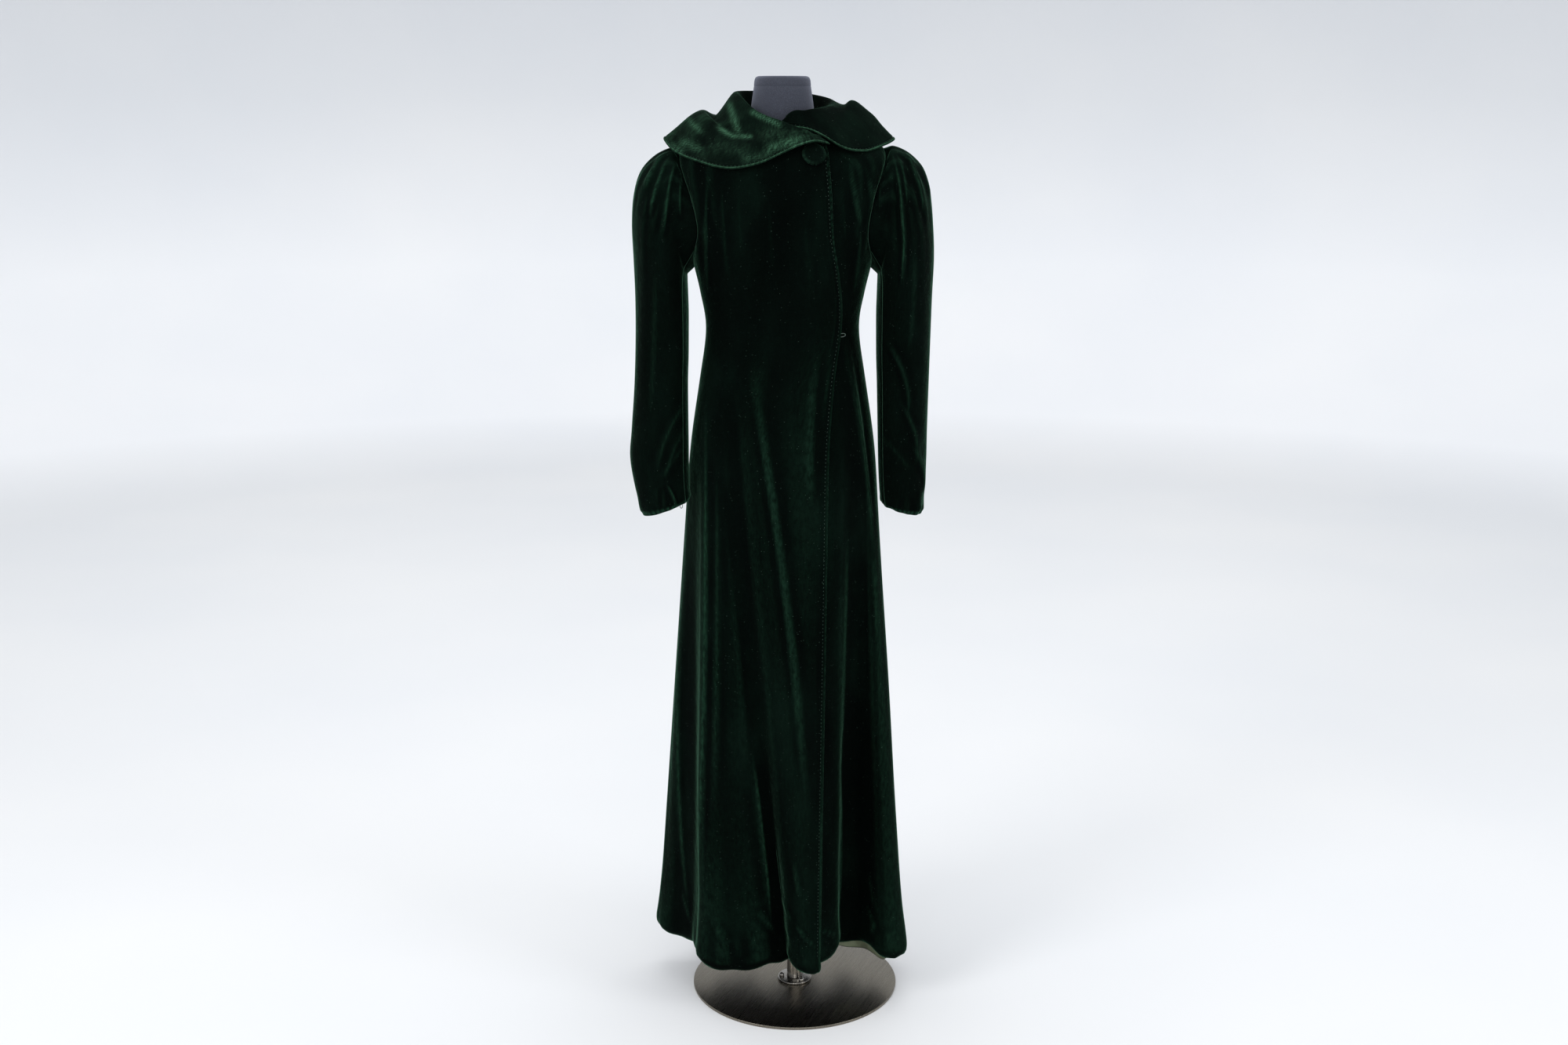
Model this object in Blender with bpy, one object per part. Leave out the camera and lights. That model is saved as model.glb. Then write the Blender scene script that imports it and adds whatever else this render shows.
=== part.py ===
"""A long velvet coat with a draped collar and pleated sleeve heads, on a limbless dress form.

Metres, +Z up. X runs to the viewer's right, the coat's front faces -Y, and the origin is the
centre of the base plate's underside. Right and left are the wearer's own.
"""
import math

import bpy
import numpy as np
from mathutils import Vector

for old in list(bpy.data.objects):
    bpy.data.objects.remove(old, do_unlink=True)

# Driving dimensions of the cloth
COAT_X = -0.0215        # the coat hangs a little to the left of the stand's pole
WALL = 0.0018           # velvet with its backing
GAP = 0.0003            # left between pieces that are sewn together
LAP_LIFT = 0.0038       # the right front lies this far above the left front
LAP_LIFT_NECK = 0.0072  # more at the neckline, where the left half of the collar lies between
HEM_Z = 0.085           # the hem's height above the floor
HEM_PUFF = 0.003        # the soft turned hem bulges by this much

# Driving dimensions of the dress form and its stand
# Rings of the neck block from its foot up: radius, height
NECK_BLOCK = [
    (0.0515, 1.4920),
    (0.0507, 1.5146),
    (0.0474, 1.5400),
    (0.0443, 1.5620),
    (0.0428, 1.5660),
    (0.0383, 1.5680),
]
NECK_TILT = 0.30        # rise of the neck's foot towards the back
FORM_FOOT_Z = 0.930
POLE_R = 0.0138
FLANGE_R = 0.0299
FLANGE_T = 0.0040
BASE_R = 0.1800
BASE_T = 0.0045
EDGE_ROUND = 0.0006
SCREW_RING = 0.0232
SCREW_ANGLES = (180.0, 60.0, -60.0)
# Rings of a screw's domed head from its foot up: radius, height above the flange
SCREW_HEAD = [
    (0.0046, 0.0),
    (0.0046, 0.0022),
    (0.0037, 0.0042),
    (0.0018, 0.0052),
]

# Rings of the body from the neckline down to the hip:
# half width, front, back, z at the side, z at the front, z at the back, roundness (1 is an ellipse)
RINGS = [
    (0.062, 0.064, 0.052, 1.490, 1.464, 1.500, 0.82),     # 0 neckline
    (0.105, 0.090, 0.076, 1.474, 1.446, 1.480, 0.76),     # 1 under the collar
    (0.160, 0.106, 0.094, 1.455, 1.408, 1.453, 0.62),     # 2 shoulder tips
    (0.160, 0.118, 0.103, 1.392, 1.365, 1.398, 0.60),     # 3 chest
    (0.151, 0.126, 0.107, 1.330, 1.323, 1.335, 0.67),     # 4 over the bust
    (0.144, 0.128, 0.105, 1.282, 1.282, 1.284, 0.76),     # 5 bust
    (0.132, 0.118, 0.097, 1.228, 1.228, 1.228, 0.80),     # 6 ribs
    (0.1235, 0.103, 0.089, 1.168, 1.168, 1.168, 0.84),    # 7 waist
    (0.134, 0.111, 0.106, 1.087, 1.087, 1.087, 0.84),     # 8 high hip
    (0.151, 0.122, 0.128, 0.982, 0.982, 0.982, 0.84),     # 9 hip
]
NECK, TIP, UNDERARM, HIP = 0.0, 2.0, 5.3, 9.0
ONE_DEGREE, SMALL_RING = 1.0, 0.05    # steps along the body for finding its normal
ARMHOLE_CUT_FRONT = 30.0    # degrees that the armhole is scooped out of the front
ARMHOLE_CUT_BACK = 26.0
ARMHOLE_ROUNDNESS = 0.75

# Rows of every body panel: ring numbers, then fractions of the way from hip to hem
RING_ROWS = [0.0, 0.5, 1.0, 1.5, 2.0, 2.4, 2.85, 3.3, 3.8, 4.3, 4.8, 5.3, 5.9, 6.4, 7.0, 7.6, 8.3, 9.0]
SKIRT_ROWS = [0.14, 0.34, 0.56, 0.78, 0.92, 0.975, 1.0]
HIP_PER_DEGREE = 0.0022    # cloth at the hip for each degree round it
HEM_ROWS = {0.92: 0.5, 0.975: 1.0, 1.0: -0.8}    # share of HEM_PUFF at the last rows

# Front edge of the right front: ring number, distance to the viewer's right of the coat's axis
RIGHT_EDGE = [(0, 0.047), (1, 0.067), (2, 0.073), (4, 0.078), (7, 0.090), (8, 0.080), (9, 0.072)]
# The left front's edge, hidden under the lap
LEFT_EDGE = [(0, -0.018), (2, -0.022), (7, -0.020), (9, -0.016)]

# Folds of the skirt, a row for each crest, valley or edge in order along the hem:
# angle at the hip in degrees from the front, then x and y of the hem
RIGHT_HEM = [
    (28.5, 0.041, -0.140),
    (-4.0, 0.018, -0.139),
    (-20.0, 0.001, -0.116),
    (-34.0, -0.011, -0.082),
    (-39.0, -0.030, -0.094),
    (-43.0, -0.059, -0.117),
    (-47.0, -0.100, -0.126),
    (-51.0, -0.133, -0.122),
    (-55.0, -0.157, -0.107),
    (-61.0, -0.166, -0.066),
    (-67.0, -0.176, -0.032),
    (-75.0, -0.197, -0.006),
    (-83.0, -0.226, 0.014),
    (-90.0, -0.243, 0.045),
]
LEFT_HEM = [
    (-6.0, 0.012, -0.094),
    (10.0, 0.033, -0.114),
    (27.0, 0.054, -0.094),
    (39.0, 0.069, -0.064),
    (46.0, 0.077, -0.026),
    (52.0, 0.103, -0.014),
    (58.0, 0.130, -0.040),
    (64.0, 0.152, -0.076),
    (72.0, 0.173, -0.092),
    (79.0, 0.187, -0.074),
    (85.0, 0.188, -0.035),
    (90.0, 0.186, 0.005),
]
BACK_HEM = [
    (-90.0, -0.243, 0.045),
    (-101.0, -0.237, 0.082),
    (-110.0, -0.203, 0.099),
    (-118.0, -0.168, 0.092),
    (-127.0, -0.141, 0.122),
    (-137.0, -0.110, 0.143),
    (-147.0, -0.078, 0.136),
    (-156.0, -0.052, 0.108),
    (-167.0, -0.024, 0.128),
    (-179.0, 0.006, 0.150),
    (-191.0, 0.038, 0.141),
    (-201.0, 0.058, 0.114),
    (-212.0, 0.078, 0.132),
    (-223.0, 0.103, 0.140),
    (-234.0, 0.123, 0.120),
    (-243.0, 0.134, 0.092),
    (-252.0, 0.153, 0.094),
    (-260.0, 0.173, 0.078),
    (-270.0, 0.186, 0.005),
]

FOLD_RISES_OVER = 0.8       # rings over which a fold rises at its start and sinks at its end
# Soft folds raised on the panels above the skirt:
# angle at the start, angle at the end, first ring, last ring, half width in degrees, height
RIGHT_FOLDS = [
    (-62.0, -50.0, 1.2, 4.6, 5.0, 0.0035),
    (-44.0, -40.0, 1.2, 4.0, 5.0, 0.0030),
    (-18.0, -14.0, 7.2, 9.0, 9.0, 0.0030),
]
LEFT_FOLDS = [
    (44.0, 50.0, 1.2, 4.4, 4.5, 0.0035),
    (58.0, 58.0, 1.4, 5.0, 4.5, 0.0030),
    (52.0, 56.0, 7.0, 9.0, 6.0, 0.0030),
]
BACK_FOLDS = [
    (-160.0, -158.0, 6.4, 9.0, 7.0, 0.0030),
    (-200.0, -202.0, 6.4, 9.0, 7.0, 0.0030),
]

# Sections of the sleeves from the head down to the cuff:
# x and z of the outer side, x and z of the inner side, y of the middle, half depth
RIGHT_SLEEVE = [
    (0.176, 1.4565, 0.1540, 1.256, -0.004, 0.078),
    (0.203, 1.4445, 0.1545, 1.246, -0.006, 0.083),
    (0.226, 1.4205, 0.1540, 1.234, -0.008, 0.088),
    (0.238, 1.385, 0.1535, 1.217, -0.010, 0.087),
    (0.2420, 1.340, 0.1530, 1.194, -0.012, 0.083),
    (0.2410, 1.285, 0.1530, 1.163, -0.013, 0.077),
    (0.2400, 1.220, 0.1535, 1.123, -0.014, 0.070),
    (0.2405, 1.150, 0.1550, 1.080, -0.017, 0.064),
    (0.2430, 1.075, 0.1550, 1.030, -0.022, 0.059),
    (0.2480, 1.005, 0.1545, 0.978, -0.030, 0.055),
    (0.2510, 0.960, 0.1540, 0.943, -0.038, 0.052),
    (0.2430, 0.912, 0.1530, 0.914, -0.046, 0.048),
    (0.2310, 0.866, 0.1515, 0.893, -0.052, 0.044),
]
LEFT_SLEEVE = [
    (0.176, 1.459, 0.1540, 1.256, -0.004, 0.078),
    (0.202, 1.448, 0.1545, 1.246, -0.006, 0.083),
    (0.223, 1.426, 0.1540, 1.234, -0.008, 0.088),
    (0.236, 1.390, 0.1535, 1.217, -0.010, 0.087),
    (0.2420, 1.340, 0.1530, 1.194, -0.012, 0.083),
    (0.2450, 1.285, 0.1530, 1.163, -0.013, 0.077),
    (0.2430, 1.220, 0.1535, 1.123, -0.014, 0.070),
    (0.2410, 1.150, 0.1550, 1.080, -0.017, 0.064),
    (0.2390, 1.075, 0.1560, 1.030, -0.022, 0.059),
    (0.2370, 1.000, 0.1570, 0.978, -0.029, 0.055),
    (0.2360, 0.955, 0.1580, 0.940, -0.035, 0.051),
    (0.2340, 0.908, 0.1600, 0.905, -0.041, 0.048),
    (0.2300, 0.868, 0.1630, 0.884, -0.046, 0.044),
]
# Seams of the two-piece sleeve, as shares of the way round from the shoulder tip by the front
SLEEVE_FRONT_SEAM = 0.41
SLEEVE_BACK_SEAM = 0.66
# Pleats of the sleeve head: place round the armhole, depth, how many sections down they reach
PLEATS = [
    (-0.210, 0.004, 3.5),
    (-0.165, 0.006, 5.0),
    (-0.120, 0.007, 4.2),
    (-0.075, 0.006, 5.5),
    (-0.030, 0.006, 4.0),
    (0.022, 0.006, 4.6),
    (0.066, 0.007, 6.0),
    (0.112, 0.007, 5.0),
    (0.158, 0.007, 7.0),
    (0.205, 0.005, 4.4),
]
PLEAT_HALF_WIDTH = 0.017
PLEAT_MARGIN = 0.0238    # from the outermost pleats to the next plain column
PLAIN_COLUMNS = 5
UNDER_COLUMNS = 8
MIDDLE_POINTS = 72       # points round a section that give the sleeve's middle line

# The collar, a row for each station from its end on the right front round the neck:
# angle, then radius and height of the roll, the dip behind it, the swell and the outer edge
COLLAR = [
    (39.0, 0.0920, 1.4740, 0.1005, 1.4702, 0.1085, 1.4668, 0.1150, 1.4640),
    (28.0, 0.0990, 1.4785, 0.1035, 1.4760, 0.1080, 1.4730, 0.1140, 1.4680),
    (14.0, 0.0880, 1.4885, 0.0940, 1.4825, 0.1020, 1.4740, 0.1100, 1.4625),
    (0.0, 0.0805, 1.4970, 0.0870, 1.4850, 0.0970, 1.4710, 0.1080, 1.4505),
    (-18.0, 0.0750, 1.5050, 0.0870, 1.4825, 0.1020, 1.4650, 0.1200, 1.4350),
    (-38.0, 0.0715, 1.5150, 0.0920, 1.4800, 0.1120, 1.4620, 0.1390, 1.4275),
    (-58.0, 0.0690, 1.5270, 0.1010, 1.4860, 0.1220, 1.4785, 0.1600, 1.4385),
    (-74.0, 0.0690, 1.5350, 0.1060, 1.4950, 0.1290, 1.5010, 0.1770, 1.4520),
    (-90.0, 0.0720, 1.5400, 0.1080, 1.5030, 0.1320, 1.5125, 0.1890, 1.4710),
    (-112.0, 0.0780, 1.5430, 0.1050, 1.5080, 0.1290, 1.5030, 0.1700, 1.4600),
    (-140.0, 0.0780, 1.5440, 0.0950, 1.5080, 0.1120, 1.4840, 0.1400, 1.4330),
    (-180.0, 0.0710, 1.5440, 0.0860, 1.5060, 0.0970, 1.4680, 0.1120, 1.4120),
    (-220.0, 0.0780, 1.5380, 0.0950, 1.5080, 0.1120, 1.4860, 0.1390, 1.4350),
    (-246.0, 0.0780, 1.5300, 0.1000, 1.5140, 0.1230, 1.5040, 0.1640, 1.4630),
    (-270.0, 0.0750, 1.5215, 0.0980, 1.5215, 0.1190, 1.5250, 0.1785, 1.4690),
    (-286.0, 0.0725, 1.5190, 0.0950, 1.5145, 0.1170, 1.5080, 0.1630, 1.4595),
    (-300.0, 0.0700, 1.5175, 0.0920, 1.5065, 0.1130, 1.4900, 0.1460, 1.4525),
    (-311.0, 0.0695, 1.5160, 0.0880, 1.5040, 0.1055, 1.4870, 0.1310, 1.4565),
    (-321.0, 0.0690, 1.5140, 0.0805, 1.5030, 0.0935, 1.4880, 0.1070, 1.4737),
    (-330.0, 0.0690, 1.5125, 0.0765, 1.5030, 0.0845, 1.4935, 0.0920, 1.4839),
    (-346.0, 0.0680, 1.5105, 0.0705, 1.5040, 0.0730, 1.4965, 0.0750, 1.4890),
    (-362.0, 0.0655, 1.4960, 0.0660, 1.4930, 0.0665, 1.4905, 0.0670, 1.4880),
]
COLLAR_COLUMNS = 48
COLLAR_ROWS = [0.0, 0.5, 1.0, 1.5, 2.0, 2.5, 3.0, 3.5, 4.0]
COLLAR_SEAM_RISE = 0.0003
COLLAR_SEAM_INSET = 0.0008
COLLAR_OVER_FROM = -65.0    # from this angle on the collar's seam comes to lie over the neckline's edge
COLLAR_OVER_FULL = -28.0

# Rings of the covered button from its back to its front: radius, height
BUTTON = [
    (0.0171, 0.0),
    (0.0190, 0.0022),
    (0.0179, 0.0043),
    (0.0133, 0.0058),
    (0.0057, 0.0062),
]
BUTTON_SEAT = 0.0006
BUTTON_RING = 1.25       # ring number at its middle
BUTTON_X = 0.0480
LOOP_WIRE_R = 0.0006
LOOP_STEPS = 8
LOOP_SQUARENESS = 0.6    # 1 is a half ellipse, less is squarer
LOOP_RING = 7.05         # ring number of the thread loop at the waist
LOOP_X = (0.0915, 0.0985)
LOOP_HALF = 0.0026
LOOP_RISE = 0.0018
CUFF_LOOP_AT = 0.37      # share of the way round the right sleeve
CUFF_LOOP_LENGTH = 0.0050
LINING_DROP = 0.0090
LINING_T = 0.0010
LINING_FROM = 9          # columns of the left front between which the lining shows
LINING_TO = 18
LINING_SAG_END = 0.08    # how far from its ends, as a share of its width, the sag would reach nothing


def smooth(table, column, at):
    """Read a smooth curve through one column of a table, whose first column is the place."""
    place = np.array([row[0] for row in table], float)
    value = np.array([row[column] for row in table], float)
    slope = np.gradient(value, place)
    at = np.clip(np.asarray(at, float), place[0], place[-1])
    i = np.clip(np.searchsorted(place, at, side="right") - 1, 0, len(place) - 2)
    step = place[i + 1] - place[i]
    t = (at - place[i]) / step
    return ((2 * t**3 - 3 * t**2 + 1) * value[i] + (t**3 - 2 * t**2 + t) * step * slope[i]
            + (3 * t**2 - 2 * t**3) * value[i + 1] + (t**3 - t**2) * step * slope[i + 1])


def numbered(rows):
    """Put a row number in front of each row of a table."""
    return [(float(i),) + tuple(row) for i, row in enumerate(rows)]


def blend(low, high, at):
    """Rise softly from 0 at low to 1 at high."""
    t = np.clip((np.asarray(at, float) - low) / (high - low), 0.0, 1.0)
    return t * t * (3 - 2 * t)


def unit(vectors):
    return vectors / np.maximum(np.linalg.norm(vectors, axis=-1, keepdims=True), 1e-12)


def from_axis(points):
    """The level way out from the coat's upright axis."""
    return unit((points - np.array([COAT_X, 0.0, 0.0])) * np.array([1.0, 1.0, 0.0]))


RING_TABLE = numbered(RINGS)


def body(angle, ring):
    """The cloth's inner face on the body, at an angle from the front and a ring number."""
    angle, ring = np.broadcast_arrays(np.asarray(angle, float), np.asarray(ring, float))
    half, front, back, z_side, z_front, z_back, full = (smooth(RING_TABLE, k, ring) for k in range(1, 8))
    turn = np.radians(angle)
    side, ahead = np.sin(turn), np.cos(turn)
    y = np.where(ahead > 0, -front, back) * np.abs(ahead) ** full
    z = z_side + (np.where(ahead > 0, z_front, z_back) - z_side) * ahead**2
    return np.stack([COAT_X + half * side, y, z], axis=-1)


def edge_angle(table, ring):
    """The angle at which a front edge lies, from its distance to the coat's axis."""
    return np.degrees(np.arcsin(smooth(table, 1, ring) / smooth(RING_TABLE, 1, ring)))


def armhole_scoop(ring, cut):
    """Degrees that an armhole is cut in from the side, at one ring number."""
    t = np.clip((ring - TIP) / (UNDERARM - TIP), 0.0, 1.0)
    return cut * math.sin(math.pi * t) ** ARMHOLE_ROUNDNESS


def hem_table(hem):
    """The hem's rows, with their share of the panel's width at hem and hip put in front."""
    points = np.array(hem)
    steps = np.linalg.norm(np.diff(points[:, 1:], axis=0), axis=1)
    steps += HIP_PER_DEGREE * np.abs(np.diff(points[:, 0]))
    length = np.concatenate([[0.0], np.cumsum(steps)])
    return [(share,) + row for share, row in zip(length / length[-1], hem)]


def panel(hem, start_angle, end_angle, folds, columns):
    """The inner face of a body panel, as rows from the neckline to the hem."""
    table = hem_table(hem)
    u = np.linspace(0.0, 1.0, columns + 1)
    even_at_hip = start_angle(HIP) + (end_angle(HIP) - start_angle(HIP)) * u
    gathered = smooth(table, 1, u) - even_at_hip
    rows = []
    for ring in RING_ROWS:
        even = start_angle(ring) + (end_angle(ring) - start_angle(ring)) * u
        angle = even + gathered * blend(UNDERARM, HIP, ring)
        points = body(angle, ring)
        for first, last, top, bottom, width, height in folds:
            middle = first + (last - first) * np.clip((ring - top) / (bottom - top), 0.0, 1.0)
            reach = blend(top, top + FOLD_RISES_OVER, ring)
            reach = reach * (1.0 - blend(bottom - FOLD_RISES_OVER, bottom + FOLD_RISES_OVER, ring))
            rise = height * reach * np.exp(-((angle - middle) / width) ** 2)
            points = points + from_axis(points) * rise[:, None]
        rows.append(points)
    top = rows[-1]
    foot = np.stack([smooth(table, 2, u), smooth(table, 3, u), np.full_like(u, HEM_Z)], axis=-1)
    for share in SKIRT_ROWS:
        rows.append(top + (foot - top) * share)
    return np.array(rows)


def outward(grid, centre):
    """Unit normals of a grid, on the side away from a centre line given for each row."""
    down = np.gradient(grid, axis=0)
    along = np.gradient(grid, axis=1)
    normal = unit(np.cross(along, down))
    if np.sum(normal * (grid - centre)) < 0:
        normal = -normal
    return normal


def new_material(name, colour, roughness, metallic=0.0):
    material = bpy.data.materials.new(name)
    material.use_nodes = True
    shader = material.node_tree.nodes["Principled BSDF"]
    shader.inputs["Base Color"].default_value = (*colour, 1.0)
    shader.inputs["Roughness"].default_value = roughness
    shader.inputs["Metallic"].default_value = metallic
    return material


VELVET = new_material("green velvet", (0.010, 0.045, 0.024), 0.75)
SAGE = new_material("sage lining", (0.12, 0.15, 0.08), 0.6)
SLATE = new_material("slate jersey", (0.055, 0.058, 0.085), 0.9)
STEEL = new_material("brushed steel", (0.45, 0.43, 0.40), 0.35, 1.0)


def finish(name, points, faces, material):
    mesh = bpy.data.meshes.new(name)
    mesh.from_pydata([tuple(p) for p in points], [], faces)
    mesh.materials.append(material)
    mesh.update()
    mesh.shade_smooth()
    mesh.set_sharp_from_angle(angle=math.radians(50))
    thing = bpy.data.objects.new(name, mesh)
    bpy.context.scene.collection.objects.link(thing)
    return thing


def walled(name, inner, outer, material):
    """Close two grids of the same size into one wall with a rim all round."""
    rows, columns = inner.shape[:2]
    count = rows * columns
    points = np.concatenate([inner.reshape(-1, 3), outer.reshape(-1, 3)])
    faces = []
    for i in range(rows - 1):
        for j in range(columns - 1):
            a, b = i * columns + j, i * columns + j + 1
            c, d = b + columns, a + columns
            if np.linalg.norm(points[a] - points[c]) < np.linalg.norm(points[b] - points[d]):
                pair = ((a, b, c), (a, c, d))
            else:
                pair = ((a, b, d), (b, c, d))
            for face in pair:
                faces += [face, tuple(count + k for k in face[::-1])]
    loop = [(0, j) for j in range(columns)] + [(i, columns - 1) for i in range(1, rows)]
    loop += [(rows - 1, j) for j in range(columns - 2, -1, -1)] + [(i, 0) for i in range(rows - 2, 0, -1)]
    ids = [i * columns + j for i, j in loop]
    for a, b in zip(ids, ids[1:] + ids[:1]):
        low, high = min(a, b), max(a, b)
        if a == low:
            faces += [(high, low, count + high), (low, count + low, count + high)]
        else:
            faces += [(low, high, count + high), (low, count + high, count + low)]
    normal = np.cross(inner[0, 1] - inner[0, 0], inner[1, 0] - inner[0, 0])
    if np.dot(normal, outer[0, 0] - inner[0, 0]) > 0:
        faces = [face[::-1] for face in faces]
    return finish(name, points, faces, material)


def turned(name, profile, material, centre=(0.0, 0.0), sides=24, tilt=0.0):
    """A closed turned solid from (radius, z) pairs, bottom to top; tilt lifts its first ring."""
    points, faces = [], []
    for k, (radius, z) in enumerate(profile):
        for j in range(sides):
            turn = 2 * math.pi * j / sides
            x, y = radius * math.cos(turn), radius * math.sin(turn)
            points.append((centre[0] + x, centre[1] + y, z + (tilt * y if k == 0 else 0.0)))
    for k in range(len(profile) - 1):
        for j in range(sides):
            a, b = k * sides + j, k * sides + (j + 1) % sides
            faces.append((a, b, b + sides, a + sides))
    faces.append(tuple(reversed(range(sides))))
    last = (len(profile) - 1) * sides
    faces.append(tuple(range(last, last + sides)))
    return finish(name, points, faces, material)


# Body panels

def right_start(ring):
    return float(edge_angle(RIGHT_EDGE, ring))


def left_start(ring):
    return float(edge_angle(LEFT_EDGE, ring))


right = panel(RIGHT_HEM, right_start, lambda ring: -90.0 + armhole_scoop(ring, ARMHOLE_CUT_FRONT),
              RIGHT_FOLDS, 24)
left = panel(LEFT_HEM, left_start, lambda ring: 90.0 - armhole_scoop(ring, ARMHOLE_CUT_FRONT),
             LEFT_FOLDS, 18)
back = panel(BACK_HEM, lambda ring: -90.0 - armhole_scoop(ring, ARMHOLE_CUT_BACK),
             lambda ring: -270.0 + armhole_scoop(ring, ARMHOLE_CUT_BACK), BACK_FOLDS, 30)

row_centre = np.zeros((len(right), 1, 3))
row_centre[:, 0, 0] = COAT_X
row_centre[:, 0, 2] = right[:, :, 2].mean(axis=1)
right_normal = outward(right, row_centre)
left_normal = outward(left, row_centre)
back_normal = outward(back, row_centre)
SEAM_ROWS = [i for i, ring in enumerate(RING_ROWS) if ring <= TIP or ring >= UNDERARM]
SEAM_ROWS += list(range(len(RING_ROWS), len(right)))


def join_sides(front, front_normal, other, other_normal, column):
    """Give a front and the back one common edge at their seams, GAP apart."""
    inner = 1 if column == 0 else column - 1 if column > 0 else -2
    for i in SEAM_ROWS:
        across = unit(other[i, inner] - front[i, -2])
        normal = unit(front_normal[i, -1] + other_normal[i, column])
        normal = unit(normal - across * np.dot(normal, across))
        front_normal[i, -1] = normal
        other_normal[i, column] = normal
        front[i, -1] = front[i, -1] - across * GAP / 2
        other[i, column] = other[i, column] + across * GAP / 2


join_sides(right, right_normal, back, back_normal, 0)
join_sides(left, left_normal, back, back_normal, -1)

puff = np.zeros(len(right))
for share, part in HEM_ROWS.items():
    puff[len(RING_ROWS) + SKIRT_ROWS.index(share)] = part * HEM_PUFF
for grid, normal in ((right, right_normal), (left, left_normal), (back, back_normal)):
    level = unit(normal * np.array([1.0, 1.0, 0.0]))
    grid += level * puff[:, None, None]

# The lap: the right front rises off the left front, and comes down again towards its side seam
LAP_FULL, LAP_END = 0.45, 0.85    # shares of the right front's width
LAP_EASES = (0.4, 2.0)            # ring numbers between which the lift eases from the neckline's


def lap_lift(ring, share):
    """How far the right front is lifted, at a ring number and a share of its width."""
    height = LAP_LIFT_NECK + (LAP_LIFT - LAP_LIFT_NECK) * blend(*LAP_EASES, ring)
    return height * (1.0 - blend(LAP_FULL, LAP_END, share))


across_right = np.linspace(0.0, 1.0, right.shape[1])
for i in range(len(right)):
    ring = RING_ROWS[i] if i < len(RING_ROWS) else HIP
    right[i] += right_normal[i] * lap_lift(ring, across_right)[:, None]

right_outer = right + right_normal * WALL
left_outer = left + left_normal * WALL
back_outer = back + back_normal * WALL
walled("right_front", right, right_outer, VELVET)
walled("left_front", left, left_outer, VELVET)
walled("back", back, back_outer, VELVET)


# The lining hangs below the left front's hem where the hem runs back into its deep fold
lining_columns = slice(LINING_FROM, LINING_TO + 1)
facing = left_normal[:, lining_columns]
hang = [left[i, lining_columns] - facing[i] * (LINING_T + 2 * GAP) for i in (-4, -3)]
hem_line = left[-1, lining_columns] - facing[-1] * (LINING_T + 2 * GAP)
hang.append(hem_line)
sag = np.sin(np.pi * np.linspace(LINING_SAG_END, 1.0 - LINING_SAG_END, hem_line.shape[0]))[:, None]
hang.append(hem_line - np.array([0.0, 0.0, 1.0]) * LINING_DROP * sag)
hang = np.array(hang)
hang_normal = np.concatenate([facing[[-4, -3, -1]], facing[[-1]]])
walled("hem_lining", hang, hang + hang_normal * LINING_T, SAGE)


# Sleeves

def armhole(side):
    """Points round an armhole with its share of the way, by the front and back to the tip."""
    front, normal = (right, right_normal) if side < 0 else (left, left_normal)
    column = 0 if side < 0 else -1
    rows = [i for i, ring in enumerate(RING_ROWS) if TIP <= ring <= UNDERARM]
    points = []
    for grid, grid_normal, order, j in ((front, normal, rows, -1),
                                        (back, back_normal, rows[::-1], column)):
        step = -2 if j == -1 else 1
        for i in order:
            beyond = unit(grid[i, j] - grid[i, step])
            if i in (rows[0], rows[-1]):
                beyond = np.array([side * 1.0, 0.0, 0.0]) if i == rows[0] else np.array([0.0, 0.0, 1.0])
            points.append(grid[i, j] + grid_normal[i, j] * (WALL + GAP) + beyond * GAP)
    half = len(rows)
    shares = [0.5 * k / (half - 1) for k in range(half)]
    shares += [0.5 + share for share in shares]
    joined = [(share,) + tuple(point) for share, point in zip(shares, points)]
    return joined


def along(rows, share):
    """Walk straight from point to point of a table of shares and places."""
    shares = np.array([row[0] for row in rows])
    return np.stack([np.interp(share, shares, [row[k] for row in rows]) for k in (1, 2, 3)], axis=-1)


def sleeve(side, sections, share):
    """The outer face of a strip of sleeve at shares of the way round from the shoulder tip."""
    loop = armhole(side)
    turn = 2 * math.pi * share
    rows = [along(loop, share % 1.0)]
    for k, (x_out, z_out, x_in, z_in, y_mid, depth) in enumerate(sections):
        middle = np.array([(x_out + x_in) / 2, y_mid, (z_out + z_in) / 2])
        reach = np.array([(x_out - x_in) / 2, 0.0, (z_out - z_in) / 2])
        away = np.cos(turn)[:, None] * reach + np.sin(turn)[:, None] * np.array([0.0, -depth, 0.0])
        fold = np.zeros_like(share)
        for place, height, length in PLEATS:
            apart = (share - place + 0.5) % 1.0 - 0.5
            fade = 1.0 - blend(0.5, length, k)
            fold += height * fade * np.exp(-(apart / PLEAT_HALF_WIDTH) ** 2)
        points = middle + away + unit(away) * fold[:, None]
        points[:, 0] = COAT_X + side * points[:, 0]
        rows.append(points)
    return np.array(rows)


def top_shares():
    """Columns of the top sleeve: one on each pleat, one between pleats, and plain ones beside."""
    crests = [place for place, height, length in PLEATS]
    between = [(a + b) / 2 for a, b in zip(crests, crests[1:])]
    before = np.linspace(SLEEVE_BACK_SEAM - 1.0, crests[0] - PLEAT_MARGIN, PLAIN_COLUMNS)
    after = np.linspace(crests[-1] + PLEAT_MARGIN, SLEEVE_FRONT_SEAM, PLAIN_COLUMNS + 1)
    return np.concatenate([before, sorted(crests + between), after])


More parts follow.
